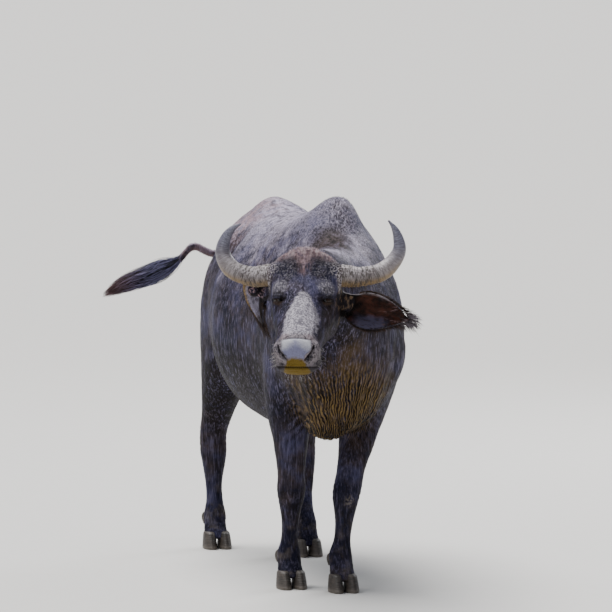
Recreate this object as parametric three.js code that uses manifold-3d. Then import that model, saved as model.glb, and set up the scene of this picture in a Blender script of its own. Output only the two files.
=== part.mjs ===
// A life-size African buffalo cow, standing, with her head turned and her tail swung out to her right.
// Millimetres, +Z up. She faces -Y, her left side is +X, and the soles of her claws lie on z = 0.
import * as THREE from "three";
import { ConvexGeometry } from "three/addons/geometries/ConvexGeometry.js";
import { mergeVertices } from "three/addons/utils/BufferGeometryUtils.js";
import Module from "manifold-3d";

const wasm = await Module();
wasm.setup();

// Driving dimensions
const GAP = 0.3; // between nodes that touch
const HEAD_ORIGIN = [-232, -545, 1055]; // on her midline, between the eyes
const HEAD_TURN = -18; // degrees about Z, to her right
const HEAD_NOD = 30.6; // degrees that the face line points below the horizontal
const EYE_RADIUS = 22;
const EYE_SPREAD = 80; // half the distance between the eyeballs
const EYE_Y = -8;
const EYE_Z = 28;
const CLAW_HEIGHT = 64;
const CLAW_LENGTH = 104;
const CLAW_WIDTH = 51;
const CLAW_SPREAD = 28; // half the distance between the two claws of a foot
const FETLOCK_HEIGHT = 128;
const SIDES = { left: 1, right: -1 };

const vec = (x, y, z) => new THREE.Vector3(x, y, z);
const rad = THREE.MathUtils.degToRad;

// Solids

function solid(geometry) {
  const bare = new THREE.BufferGeometry();
  bare.setAttribute("position", geometry.getAttribute("position"));
  if (geometry.index) bare.setIndex(geometry.index);
  const merged = mergeVertices(bare, 1e-3);
  return new wasm.Manifold(
    new wasm.Mesh({
      numProp: 3,
      vertProperties: merged.attributes.position.array,
      triVerts: new Uint32Array(merged.index.array),
    }),
  );
}

function geometryOf(manifold) {
  const mesh = manifold.getMesh();
  const geometry = new THREE.BufferGeometry();
  const positions = new Float32Array(mesh.numVert * 3);
  for (let i = 0; i < mesh.numVert; i++) {
    positions.set(mesh.vertProperties.subarray(i * mesh.numProp, i * mesh.numProp + 3), i * 3);
  }
  geometry.setAttribute("position", new THREE.BufferAttribute(positions, 3));
  geometry.setIndex(new THREE.BufferAttribute(mesh.triVerts, 1));
  geometry.computeVertexNormals();
  return geometry;
}

// The largest closed surface of a solid, without sealed hollows or loose scraps.
function largest(manifold) {
  return manifold.decompose().reduce((best, body) => (body.volume() > best.volume() ? body : best));
}

function union(solids) {
  return wasm.Manifold.union(solids);
}

// A closed skin over rings of points, with a fan at each end.
function skinOver(rings) {
  const around = rings[0].length;
  const points = rings.flat();
  const centre = (ring) => ring.reduce((sum, p) => sum.add(p), vec(0, 0, 0)).divideScalar(around);
  points.push(centre(rings[0]), centre(rings.at(-1)));
  const faces = [];
  for (let k = 0; k < around; k++) {
    const next = (k + 1) % around;
    const last = (rings.length - 1) * around;
    faces.push(points.length - 2, next, k);
    faces.push(points.length - 1, last + k, last + next);
    for (let i = 0; i < rings.length - 1; i++) {
      const [a, b, c, d] = [i * around + k, i * around + next, (i + 1) * around + k, (i + 1) * around + next];
      faces.push(a, b, d, a, d, c);
    }
  }
  const geometry = new THREE.BufferGeometry().setFromPoints(points);
  geometry.setIndex(faces);
  const made = solid(geometry);
  if (made.volume() > 0) return made;
  for (let i = 0; i < faces.length; i += 3) [faces[i], faces[i + 1]] = [faces[i + 1], faces[i]];
  geometry.setIndex(faces);
  return solid(geometry);
}

// A smooth curve through evenly spaced values, at t from 0 to 1.
function through(values, t) {
  const last = values.length - 1;
  const i = Math.min(Math.floor(t * last), last - 1);
  const f = t * last - i;
  const [a, b, c, d] = [i - 1, i, i + 1, i + 2].map((k) => values[THREE.MathUtils.clamp(k, 0, last)]);
  return b + (f * (c - a + f * (2 * a - 5 * b + 4 * c - d + f * (3 * b - a - 3 * c + d)))) / 2;
}

function stationAt(stations, t) {
  const names = Object.keys(stations[0]);
  return Object.fromEntries(names.map((name) => [name, through(stations.map((s) => s[name]), t)]));
}

const power = (value, n) => Math.sign(value) * Math.abs(value) ** (2 / n);

// One cross-section: widest at height z, reaching up and down from there. crown and keel shape its upper and
// lower half: over 2 is boxy, under 2 is keeled.
function crossSection(s, around, grow) {
  const ring = [];
  for (let k = 0; k < around; k++) {
    const angle = (k / around) * 2 * Math.PI;
    const above = Math.cos(angle) > 0;
    const n = above ? s.crown : s.keel;
    const side = (s.w + grow) * power(Math.sin(angle), n);
    const rise = ((above ? s.up : s.down) + grow) * power(Math.cos(angle), n);
    const p = vec(side, 0, rise).applyAxisAngle(vec(1, 0, 0), -rad(s.tilt));
    p.applyAxisAngle(vec(0, 0, 1), rad(s.turn));
    ring.push(p.add(vec(s.x, s.y, s.z)));
  }
  return ring;
}

// Swells or hollows near a place. One with a side is repeated on the other side of x = 0.
function sculpt(point, strokes) {
  const moved = point.clone();
  for (const { at, reach, push, single } of strokes) {
    for (const side of single ? [1] : [1, -1]) {
      const distance = point.clone().sub(vec(side * at[0], at[1], at[2])).divide(vec(...reach));
      const share = Math.max(0, 1 - distance.lengthSq()) ** 2;
      moved.add(vec(side * push[0], push[1], push[2]).multiplyScalar(share));
    }
  }
  return moved;
}

function loft(stations, steps, around, { grow = 0, strokes = [] } = {}) {
  const rings = [];
  for (let i = 0; i <= steps; i++) {
    const ring = crossSection(stationAt(stations, i / steps), around, grow);
    rings.push(ring.map((p) => sculpt(p, strokes)));
  }
  return skinOver(rings);
}

// A round rod along a curve, with a radius at each evenly spaced share of its length.
function rod(points, radii, steps, around, { grow = 0, ripple = () => 0 } = {}) {
  const curve = new THREE.CatmullRomCurve3(points.map((p) => vec(...p)));
  const frames = curve.computeFrenetFrames(steps);
  const rings = [];
  for (let i = 0; i <= steps; i++) {
    const centre = curve.getPointAt(i / steps);
    if (i === 0) centre.addScaledVector(curve.getTangentAt(0), -grow);
    if (i === steps) centre.addScaledVector(curve.getTangentAt(1), grow);
    const radius = through(radii, i / steps) + ripple(i / steps) + grow;
    const ring = [];
    for (let k = 0; k < around; k++) {
      const angle = (k / around) * 2 * Math.PI;
      const across = frames.normals[i].clone().multiplyScalar(Math.cos(angle) * radius);
      ring.push(across.addScaledVector(frames.binormals[i], Math.sin(angle) * radius).add(centre));
    }
    rings.push(ring);
  }
  return skinOver(rings);
}

function ellipsoid(centre, radii, turn = [0, 0, 0], across = 20, tall = 14) {
  const geometry = new THREE.SphereGeometry(1, across, tall);
  geometry.scale(...radii);
  geometry.applyMatrix4(new THREE.Matrix4().makeRotationFromEuler(new THREE.Euler(...turn.map(rad))));
  geometry.translate(...centre);
  return solid(geometry);
}

const ball = (centre, radius) => ellipsoid(centre, [radius, radius, radius], [0, 0, 0], 14, 8);

// Locks of hair

function makeRandom(seed) {
  let state = seed;
  return () => {
    state = (state * 1664525 + 1013904223) % 4294967296;
    return state / 4294967296;
  };
}

const LOCK_TAPER = [0.8, 1, 0.72, 0.1]; // share of its width from root to tip

// A flat tapered lock from its root to its tip. Its flat side looks towards facing.
function lock(root, bend, tip, facing, width, thickness) {
  const curve = new THREE.QuadraticBezierCurve3(root, bend, tip);
  const last = LOCK_TAPER.length - 1;
  const rings = LOCK_TAPER.map((share, i) => {
    const along = curve.getTangent(i / last);
    const across = vec(0, 0, 0).crossVectors(facing, along).normalize();
    const out = vec(0, 0, 0).crossVectors(along, across);
    across.multiplyScalar((share * width) / 2);
    out.multiplyScalar((share * thickness) / 2);
    const centre = curve.getPoint(i / last);
    return [
      centre.clone().add(across),
      centre.clone().add(out),
      centre.clone().sub(across),
      centre.clone().sub(out),
    ];
  });
  return skinOver(rings);
}

// Trunk and neck, from the rump to inside the head

function trunkStation(y, z, up, down, w, crown, keel, { x = 0, tilt = 0, turn = 0 } = {}) {
  return { x, y, z, up, down, w, crown, keel, tilt, turn };
}

const TRUNK = [
  trunkStation(1442, 1050, 40, 60, 45, 2, 2, { x: 6 }),
  trunkStation(1395, 1035, 130, 190, 145, 1.9, 2, { x: 6 }),
  trunkStation(1285, 1010, 260, 310, 215, 1.8, 2, { x: 6 }),
  trunkStation(1150, 965, 350, 345, 252, 1.7, 2, { x: 8 }),
  trunkStation(1000, 925, 402, 362, 276, 1.68, 2, { x: 10 }),
  trunkStation(830, 885, 422, 352, 306, 1.78, 2, { x: 10 }),
  trunkStation(650, 865, 440, 348, 330, 1.95, 1.95, { x: 10 }),
  trunkStation(460, 855, 455, 342, 306, 1.95, 2, { x: 12 }),
  trunkStation(280, 855, 485, 334, 274, 1.97, 1.95, { x: 18 }),
  trunkStation(120, 865, 488, 322, 250, 1.85, 1.9, { x: 16 }),
  trunkStation(-30, 880, 440, 322, 226, 1.8, 1.85, { x: 4, tilt: 6, turn: -4 }),
  trunkStation(-150, 930, 332, 340, 196, 1.85, 1.8, { x: -20, tilt: 10, turn: -8 }),
  trunkStation(-245, 985, 255, 290, 165, 1.9, 1.8, { x: -62, tilt: 8, turn: -12 }),
  trunkStation(-320, 1035, 200, 225, 143, 1.9, 1.9, { x: -108, tilt: 2, turn: -15 }),
  trunkStation(-385, 1062, 174, 160, 126, 2, 2, { x: -155, tilt: -8, turn: -18 }),
  trunkStation(-440, 1085, 125, 110, 98, 2, 2, { x: -184, tilt: -10, turn: -18 }),
  trunkStation(-478, 1095, 50, 45, 40, 2, 2, { x: -198, tilt: -10, turn: -18 }),
];

const TRUNK_FORMS = [
  { at: [215, 70, 985], reach: [190, 190, 300], push: [16, -4, 0] }, // shoulder blade
  { at: [215, -60, 800], reach: [130, 120, 150], push: [16, -22, 0] }, // point of the shoulder
  { at: [300, 250, 1060], reach: [120, 120, 210], push: [-10, 0, 0] }, // hollow behind the shoulder
  { at: [215, 1010, 1200], reach: [120, 110, 100], push: [16, 0, 12] }, // hook bones
  { at: [265, 860, 1150], reach: [140, 120, 130], push: [-26, 0, -8] }, // flank hollow
  { at: [105, 1410, 1110], reach: [90, 90, 90], push: [16, 20, 12] }, // pin bones
  { at: [6, 1130, 1315], reach: [110, 170, 90], push: [0, 0, 16], single: true }, // croup
  { at: [28, 110, 1350], reach: [130, 230, 130], push: [14, 0, 40], single: true }, // withers
  { at: [-30, -240, 630], reach: [120, 120, 130], push: [0, -26, -14], single: true }, // brisket
];

const trunk = (grow = 0) => loft(TRUNK, 34, 20, { grow, strokes: TRUNK_FORMS });

const UDDER = { centre: [14, 1050, 566], radii: [70, 110, 52] };
const TEATS = { spread: 24, fore: 1005, hind: 1075, top: 540, tip: 496, radii: [13, 11, 9, 5] };

function udder(grow = 0) {
  const { spread, fore, hind, top, tip, radii } = TEATS;
  const middle = UDDER.centre[0];
  const parts = [ellipsoid(UDDER.centre, UDDER.radii.map((r) => r + grow), [0, 0, 0], 16, 10)];
  for (const x of [-spread, spread]) {
    for (const y of [fore, hind]) {
      const bulge = [middle + x * 1.1, y, (top + tip) / 2];
      parts.push(rod([[middle + x, y, top], bulge, [middle + x * 1.15, y, tip]], radii, 3, 8, { grow }));
    }
  }
  return union(parts);
}

// Legs: level sections down from inside the trunk. front and rear reach from the line of the leg, and w is
// half its width.

const LEG_SIDES = 12;
const legStation = (z, x, y, w, front, rear) => ({ z, x, y, w, front, rear });
const between = THREE.MathUtils.lerp;

function legSection(s) {
  const ring = [];
  for (let k = 0; k < LEG_SIDES; k++) {
    const angle = (k / LEG_SIDES) * 2 * Math.PI;
    const depth = Math.cos(angle) > 0 ? s.rear : s.front;
    ring.push(vec(s.x + s.w * Math.sin(angle), s.y + depth * Math.cos(angle), s.z));
  }
  return ring;
}

function legSolid(stations, steps) {
  const rings = [];
  for (let i = 0; i <= steps; i++) rings.push(legSection(stationAt(stations, i / steps)));
  return skinOver(rings);
}

// foot: where the fetlock stands. knee, or hock: its centre. shoulder, or hip: the middle of the limb's top.
function foreleg(foot, knee, shoulder) {
  const [hx, hy] = foot;
  const [kx, ky] = knee;
  const [sx, sy] = shoulder;
  return legSolid(
    [
      legStation(1080, sx * 0.82, sy + 60, 50, 60, 80),
      legStation(960, sx * 0.95, sy + 30, 82, 130, 150),
      legStation(820, sx, sy + 5, 96, 150, 165),
      legStation(700, between(sx, kx, 0.1), sy + 20, 94, 118, 150),
      legStation(600, between(sx, kx, 0.32), between(sy, ky, 0.2) + 22, 80, 88, 112),
      legStation(500, between(sx, kx, 0.62), between(sy, ky, 0.55) + 8, 63, 66, 74),
      legStation(415, between(sx, kx, 0.86), between(sy, ky, 0.85), 52, 52, 55),
      legStation(345, kx, ky, 53, 50, 44),
      legStation(290, between(kx, hx, 0.2), between(ky, hy, 0.2), 43, 40, 42),
      legStation(225, between(kx, hx, 0.5), between(ky, hy, 0.5), 34, 31, 36),
      legStation(170, between(kx, hx, 0.8), between(ky, hy, 0.8), 35, 32, 38),
      legStation(FETLOCK_HEIGHT, hx, hy, 45, 38, 45),
      legStation(88, hx, hy - 14, 45, 36, 42),
      legStation(50, hx, hy - 34, 48, 42, 42),
      legStation(34, hx, hy - 42, 38, 30, 30),
    ],
    19,
  );
}

function hindleg(foot, hock, hip) {
  const [hx, hy] = foot;
  const [kx, ky] = hock;
  const [sx, sy] = hip;
  return legSolid(
    [
      legStation(1180, sx * 0.62, sy + 30, 60, 80, 110),
      legStation(1060, sx * 0.86, sy + 20, 100, 165, 195),
      legStation(930, sx, sy - 5, 112, 215, 235),
      legStation(800, sx * 1.06, sy - 30, 110, 215, 240),
      legStation(690, between(sx * 1.08, kx, 0.2), between(sy - 45, ky, 0.12), 98, 165, 195),
      legStation(590, between(sx * 1.08, kx, 0.5), between(sy - 30, ky, 0.4), 79, 108, 130),
      legStation(500, between(sx * 1.05, kx, 0.8), between(sy, ky, 0.75), 60, 70, 92),
      legStation(430, kx, ky, 51, 54, 80),
      legStation(365, kx, ky + 4, 51, 52, 66),
      legStation(305, between(kx, hx, 0.15), between(ky, hy, 0.2), 43, 42, 48),
      legStation(235, between(kx, hx, 0.5), between(ky, hy, 0.5), 34, 32, 38),
      legStation(175, between(kx, hx, 0.8), between(ky, hy, 0.8), 35, 33, 39),
      legStation(FETLOCK_HEIGHT, hx, hy, 44, 38, 45),
      legStation(88, hx, hy - 14, 44, 36, 42),
      legStation(50, hx, hy - 34, 47, 42, 42),
      legStation(34, hx, hy - 42, 38, 30, 30),
    ],
    20,
  );
}

// Levels of a claw from its sole to its coronet, as shares of its height, width, length and lean back.
const CLAW_LEVELS = [
  { rise: 0, wide: 1, long: 1, back: 0 },
  { rise: 0.12, wide: 1.02, long: 1.02, back: 0 },
  { rise: 0.5, wide: 0.94, long: 0.9, back: 0.16 },
  { rise: 0.85, wide: 0.84, long: 0.78, back: 0.32 },
  { rise: 1, wide: 0.66, long: 0.62, back: 0.36 },
];
const CLAW_LEAN = 40;
const CLAW_AHEAD = 50; // from the fetlock to the middle of the sole
const CLAW_ROUND = 12;

// One claw: a level-soled wedge with a sloping front wall, a pointed toe and a rounded coronet.
function claw([hx, hy], side, grow = 0) {
  const growth = 1 + (2 * grow) / CLAW_WIDTH;
  const rings = CLAW_LEVELS.map(({ rise, wide, long, back }) => {
    const ring = [];
    for (let k = 0; k < CLAW_ROUND; k++) {
      const angle = (k / CLAW_ROUND) * 2 * Math.PI;
      const toe = Math.cos(angle) < 0;
      const across = (CLAW_WIDTH / 2) * wide * power(Math.sin(angle), toe ? 1.8 : 2.6) * growth;
      const along = (CLAW_LENGTH / 2) * long * power(Math.cos(angle), 2.2) * (toe ? 1.14 : 1) * growth;
      const height = rise * (CLAW_HEIGHT + rise * grow);
      ring.push(vec(hx + side * CLAW_SPREAD + across, hy - CLAW_AHEAD + back * CLAW_LEAN + along, height));
    }
    return ring;
  });
  return skinOver(rings);
}

// A dewclaw: a blunt horny cone behind the fetlock. Its path starts from the middle of the fetlock.
const DEWCLAW_PATH = [[21, 18, 122], [27, 38, 114], [29, 54, 98], [29, 60, 84]];
const DEWCLAW_RADII = [15, 16, 13, 6];

function dewclaw([hx, hy], side, grow = 0) {
  const path = DEWCLAW_PATH.map(([x, y, z]) => [hx + side * x, hy + y, z]);
  return rod(path, DEWCLAW_RADII, 4, 7, { grow });
}

// Head, in its own frame: the origin is between the eyes, the muzzle points along -Y and the forehead is up

function headStation(y, z, up, down, w, crown, keel) {
  return { x: 0, y, z, up, down, w, crown, keel, tilt: 0, turn: 0 };
}

const HEAD = [
  headStation(215, 20, 60, 70, 60, 2, 2),
  headStation(175, 10, 104, 140, 98, 2.2, 2.2),
  headStation(130, 20, 112, 195, 116, 2.3, 2.4),
  headStation(80, 24, 100, 222, 121, 2.5, 2.5),
  headStation(30, 18, 82, 214, 118, 2.4, 2.5),
  headStation(-15, 8, 80, 188, 109, 2, 2.3),
  headStation(-60, -6, 82, 154, 99, 1.85, 2.2),
  headStation(-105, -14, 82, 126, 91, 1.95, 2.2),
  headStation(-150, -18, 80, 106, 84, 2.15, 2.2),
  headStation(-195, -20, 77, 92, 79, 2.3, 2.3),
  headStation(-235, -20, 74, 86, 79, 2.4, 2.4),
  headStation(-268, -22, 69, 78, 78, 2.4, 2.5),
  headStation(-294, -26, 56, 60, 67, 2.3, 2.4),
  headStation(-311, -30, 28, 30, 40, 2.1, 2.2),
];

const HEAD_FORMS = [
  { at: [88, 16, 66], reach: [46, 42, 36], push: [6, -5, 6] }, // brow ridge
  { at: [88, -38, 48], reach: [42, 46, 40], push: [-6, 2, -14] }, // hollow before the eye
  { at: [100, 62, -90], reach: [60, 100, 110], push: [8, 0, 0] }, // cheek muscle
  { at: [92, -62, -22], reach: [40, 60, 34], push: [5, 0, 2] }, // cheekbone
  { at: [84, -130, -88], reach: [40, 80, 44], push: [-8, 0, 0] }, // hollow of the jaw
  { at: [118, 90, 62], reach: [60, 56, 60], push: [14, 4, 4] }, // horn root
  { at: [0, 140, 130], reach: [110, 70, 60], push: [0, 4, 10], single: true }, // poll
  { at: [0, -120, 60], reach: [44, 150, 40], push: [0, 0, 5], single: true }, // nose bridge
  { at: [66, -270, 14], reach: [34, 38, 34], push: [8, -3, 5] }, // nostril wing
  { at: [60, -266, -52], reach: [42, 46, 28], push: [6, -2, -2] }, // upper lip
  { at: [0, -292, -90], reach: [60, 40, 24], push: [0, 8, -3], single: true }, // lower lip
];

const LID_RADIUS = 28;
const MOUTH_CORNER = 0.66; // share of the head's length
const MOUTH_ANGLE = 107; // degrees round the muzzle from its top

function headPoint(t, degrees) {
  const s = stationAt(HEAD, t);
  const angle = rad(degrees);
  const n = Math.cos(angle) > 0 ? s.crown : s.keel;
  const tall = Math.cos(angle) > 0 ? s.up : s.down;
  const point = vec(s.w * power(Math.sin(angle), n), s.y, s.z + tall * power(Math.cos(angle), n));
  return sculpt(point, HEAD_FORMS);
}

// The line of the mouth runs from one corner round the muzzle to the other.
const MOUTH_FRONT = 0.985;
const MOUTH_RADII = [2, 4.2, 4.6, 4.6, 4.6, 4.2, 2];

function mouthLine() {
  const line = [];
  const steps = 7;
  for (let i = 0; i <= steps; i++) {
    const t = between(MOUTH_CORNER, MOUTH_FRONT, i / steps);
    const p = headPoint(t, MOUTH_ANGLE + 12 * (1 - i / steps));
    line.push([p.x - 1, p.y, p.z]);
  }
  const front = [0, line.at(-1)[1] - 7, line.at(-1)[2] + 3];
  const mirrored = line.map(([x, y, z]) => [-x, y, z]).reverse();
  return rod([...line, front, ...mirrored], MOUTH_RADII, 24, 5);
}

const NOSTRIL_PATH = [[62, -274, 32], [57, -288, 20], [47, -302, 6], [34, -314, -6]];
const NOSTRIL_RADII = [3, 7, 8.5, 3.5];

function nostril(side) {
  const path = NOSTRIL_PATH.map(([x, y, z]) => [side * x, y, z]);
  const deep = ellipsoid([side * 50, -288, 8], [11, 24, 15], [0, 0, side * -20], 10, 6);
  return union([rod(path, NOSTRIL_RADII, 8, 8), deep]);
}

const eyePlace = (side) => [side * EYE_SPREAD, EYE_Y, EYE_Z];

// The slit between the lids: a thin lens that opens outwards and a little forwards.
function lidSlit(side) {
  const centre = [side * (EYE_SPREAD + 4), EYE_Y - 19, EYE_Z + 11];
  return ellipsoid(centre, [24, 22, 6.5], [-34, 0, side * -14], 12, 6);
}

const HORN_PATHS = {
  left: [
    [84, 84, 66],
    [128, 94, 61],
    [172, 102, 51],
    [212, 112, 49],
    [258, 126, 54],
    [296, 148, 76],
    [322, 178, 112],
    [317, 203, 151],
    [304, 217, 179],
    [284, 227, 203],
  ],
  right: [
    [-84, 84, 66],
    [-128, 93, 61],
    [-172, 101, 49],
    [-210, 112, 48],
    [-247, 125, 55],
    [-277, 146, 74],
    [-293, 174, 106],
    [-281, 200, 146],
    [-256, 215, 175],
    [-229, 219, 190],
  ],
};
const HORN_RADII = [38, 38, 36.5, 33, 32, 31, 28, 24, 19, 12, 3];

function horn(name, grow = 0) {
  const rings = (t) => (t > 0.14 && t < 0.6 ? 1.2 * Math.sin(t * 92) * (0.7 - t) : 0);
  return rod(HORN_PATHS[name], HORN_RADII, 23, 10, { grow, ripple: rings });
}

// An ear: a cupped leaf along a curve, wide along across. Its back is on the side that the curve's direction
// crossed with across points to.

const EARS = {
  left: {
    path: [
      [88, 78, -10],
      [128, 80, -34],
      [168, 74, -56],
      [214, 66, -66],
      [274, 62, -75],
      [326, 56, -85],
      [362, 50, -95],
    ],
    across: [-0.02, -0.62, -0.78],
    seed: 5,
  },
  right: {
    path: [
      [-92, 76, -8],
      [-130, 92, 0],
      [-170, 108, -12],
      [-190, 118, -48],
      [-184, 112, -102],
      [-158, 88, -160],
    ],
    across: [-0.62, 0.72, 0.3],
    seed: 9,
  },
};
const EAR_HALF_WIDTH = [24, 30, 48, 66, 71, 65, 50, 30, 8];
const EAR_CUP = [26, 32, 38, 36, 30, 24, 17, 9, 3];
const EAR_WALL = [14, 11, 9, 8, 7.5, 7, 6.5, 6, 4];
const EAR_OPEN = [-1, -0.5, 0.5, 1, 1, 1, 1, 1, 0.6]; // -1 is a round stalk, 1 is fully cupped
const EAR_STEPS = 16; // along the ear
const EAR_ROWS = 6; // across each side of it
const EAR_SOCKET_RINGS = 6;

// The ear's own directions at a share of its length, with its sizes there.
function earFrame({ path, across }, t) {
  const curve = new THREE.CatmullRomCurve3(path.map((p) => vec(...p)));
  const along = curve.getTangentAt(t);
  const wide = vec(...across).addScaledVector(along, -along.dot(vec(...across))).normalize();
  const deep = vec(0, 0, 0).crossVectors(along, wide);
  const sizes = [EAR_HALF_WIDTH, EAR_CUP, EAR_WALL, EAR_OPEN].map((row) => through(row, t));
  const [width, cup, wall, open] = sizes;
  return { centre: curve.getPointAt(t), along, wide, deep, width, cup, wall, open };
}

function earRings(shape, grow = 0) {
  const rings = [];
  for (let i = 0; i <= EAR_STEPS; i++) {
    const { centre, wide, deep, width, cup, wall, open } = earFrame(shape, i / EAR_STEPS);
    const place = (s, depth) => {
      return centre.clone().addScaledVector(wide, s * (width + grow)).addScaledVector(deep, depth);
    };
    const inner = open > 0 ? (cup - wall / 2) * open : cup * open;
    const shares = Array.from({ length: EAR_ROWS + 1 }, (_, k) => (2 * k) / EAR_ROWS - 1);
    const back = shares.map((s) => place(s, cup * (1 - s * s) + wall / 2 + grow));
    const front = shares.map((s) => place(s * 0.96, inner * (1 - s * s) - wall / 2 - grow));
    rings.push([...back, ...front.reverse()]);
  }
  return rings;
}

// Locks along an ear's edges and round its tip. at is the share of the ear's length, and s of its half width.
const FRINGE = [
  { at: 0.5, s: 0.84, turn: 0.6, reach: 38 },
  { at: 0.59, s: 0.82, turn: 0.52, reach: 44 },
  { at: 0.68, s: 0.8, turn: 0.45, reach: 50 },
  { at: 0.77, s: 0.78, turn: 0.36, reach: 54 },
  { at: 0.85, s: 0.66, turn: 0.25, reach: 60 },
  { at: 0.91, s: 0.3, turn: 0.12, reach: 64 },
  { at: 0.9, s: -0.3, turn: -0.08, reach: 64 },
  { at: 0.84, s: -0.7, turn: -0.2, reach: 54 },
  { at: 0.74, s: -0.82, turn: -0.3, reach: 44 },
];
const FRINGE_WIDTH = 33;
const FRINGE_THICKNESS = 5;

// Each lock lies along the ear and leans out by turn, in radians, so that its neighbours overlap it.
function earFringe(shape) {
  const random = makeRandom(shape.seed);
  return FRINGE.map(({ at, s, turn, reach }) => {
    const { centre, along, wide, deep, width, cup } = earFrame(shape, at);
    const root = centre.addScaledVector(wide, s * width).addScaledVector(deep, cup * (1 - s * s));
    const length = reach * (0.94 + 0.12 * random());
    const lean = turn + 0.08 * (random() - 0.5);
    const out = along.clone().multiplyScalar(Math.cos(lean)).addScaledVector(wide, Math.sin(lean));
    const bend = root.clone().addScaledVector(out, length * 0.55).addScaledVector(deep, 1.5);
    const tip = root.clone().addScaledVector(out, length).addScaledVector(deep, 3 * random() - 3);
    return lock(root, bend, tip, deep, FRINGE_WIDTH * (0.94 + 0.12 * random()), FRINGE_THICKNESS);
  });
}

const ear = (name, grow = 0) => skinOver(earRings(EARS[name], grow));
const fringedEar = (name) => union([ear(name), ...earFringe(EARS[name])]);

// The socket for an ear: its lower rings, closed over and a little larger.
function earSocket(name) {
  const points = earRings(EARS[name]).slice(0, EAR_SOCKET_RINGS).flatMap((ring) => {
    const centre = ring.reduce((sum, p) => sum.add(p), vec(0, 0, 0)).divideScalar(ring.length);
    return ring.map((p) => p.clone().sub(centre).multiplyScalar(1.04).add(centre));
  });
  return solid(new ConvexGeometry(points)).add(ear(name, GAP));
}

// Tail and tuft

const TAIL_PATH = [
  [0, 1375, 1150],
  [-28, 1452, 1138],
  [-98, 1502, 1094],
  [-152, 1516, 1094],
  [-198, 1520, 1115],
  [-222, 1520, 1124],
  [-248, 1520, 1104],
  [-283, 1520, 1068],
  [-345, 1520, 1038],
  [-410, 1520, 1009],
];
const TAIL_RADII = [38, 34, 24, 18, 16, 15, 16, 19, 16, 6];
const TUFT_START = { normal: vec(-0.78, 0, -0.62).normalize(), point: vec(-256, 1520, 1097) };
const TUFT_ROOT = vec(-262, 1520, 1077);
const TUFT_ALONG = vec(-0.925, 0, -0.38).normalize();
const TUFT_LOCK_WIDTH = 42;
const TUFT_LOCK_THICKNESS = 11;
const TUFT_TIERS = [
  { from: 4, reach: 150, flare: 20, spread: 6, locks: 4 },
  { from: 62, reach: 165, flare: 27, spread: 9, locks: 4 },
  { from: 122, reach: 180, flare: 27, spread: 9, locks: 4 },
  { from: 158, reach: 166, flare: 6, spread: 3, locks: 1 },
];

const wholeTail = (grow = 0) => rod(TAIL_PATH, TAIL_RADII, 22, 8, { grow });

// Locks in tiers round the end of the tail. from and reach lie along its line, flare and spread away from it.
function tailLocks() {
  const random = makeRandom(3);
  const side = vec(0, 1, 0);
  const over = vec(0, 0, 0).crossVectors(side, TUFT_ALONG);
  const locks = [];
  TUFT_TIERS.forEach(({ from, reach, flare, spread, locks: count }, tier) => {
    for (let i = 0; i < count; i++) {
      const angle = ((i + tier / 2) / count) * 2 * Math.PI + 0.3 * random();
      const away = side.clone().multiplyScalar(Math.cos(angle)).addScaledVector(over, Math.sin(angle));
      const root = TUFT_ROOT.clone().addScaledVector(TUFT_ALONG, from).addScaledVector(away, spread);
      const length = reach * (0.92 + 0.16 * random());
      const bend = root.clone().addScaledVector(TUFT_ALONG, length * 0.45).addScaledVector(away, flare * 1.3);
      const width = TUFT_LOCK_WIDTH * (0.94 + 0.12 * random());
      const tip = root.clone().addScaledVector(TUFT_ALONG, length);
      tip.addScaledVector(away, flare * 0.55 - spread);
      locks.push(lock(root, bend, tip, away, width, TUFT_LOCK_THICKNESS));
    }
  });
  return locks;
}

// Putting the nodes together

const headFrame = new THREE.Matrix4()
  .makeRotationFromEuler(new THREE.Euler(rad(HEAD_NOD), 0, rad(HEAD_TURN), "ZYX"))
  .setPosition(...HEAD_ORIGIN);
const onHead = (manifold) => manifold.transform(headFrame.elements);

// The skull with its lids, before anything is cut.
function headSolid() {
  const lids = Object.values(SIDES).map((side) => ball(eyePlace(side), LID_RADIUS));
  return union([loft(HEAD, 28, 24, { strokes: HEAD_FORMS }), ...lids]);
}

// Sockets for the eyes, horns and ears, with the slits of the lids, the nostrils and the line of the mouth.
function headCuts() {
  const cuts = Object.values(SIDES).flatMap((side) => [
    ball(eyePlace(side), EYE_RADIUS + GAP),
    lidSlit(side),
    nostril(side),
  ]);
  const sockets = Object.keys(SIDES).flatMap((name) => [horn(name, GAP), earSocket(name)]);
  return union([...cuts, ...sockets, mouthLine()]);
}


// The head ends behind the jaw and the poll.
const HEAD_BACK = { tilt: 14, through: [0, 132, 0], bottom: -214, size: [460, 600, 560] };

function headRegion(grow = 0) {
  const { tilt, through: place, bottom, size } = HEAD_BACK;
  const block = new THREE.BoxGeometry(...size);
  block.translate(0, grow - size[1] / 2, size[2] / 2 + bottom - grow);
  block.rotateX(-rad(tilt));
  block.translate(...place);
  return onHead(solid(block));
}

const NECK_PLANE = { normal: vec(-0.24, -0.91, 0.3).normalize(), point: vec(-30, -175, 1000) };

function cutAcross(manifold, { normal, point }) {
  const distance = normal.dot(point);
  const ahead = manifold.trimByPlane(normal.toArray(), distance + GAP / 2);
  const behind = manifold.trimByPlane(normal.clone().negate().toArray(), -distance + GAP / 2);
  return [ahead, behind];
}

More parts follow.
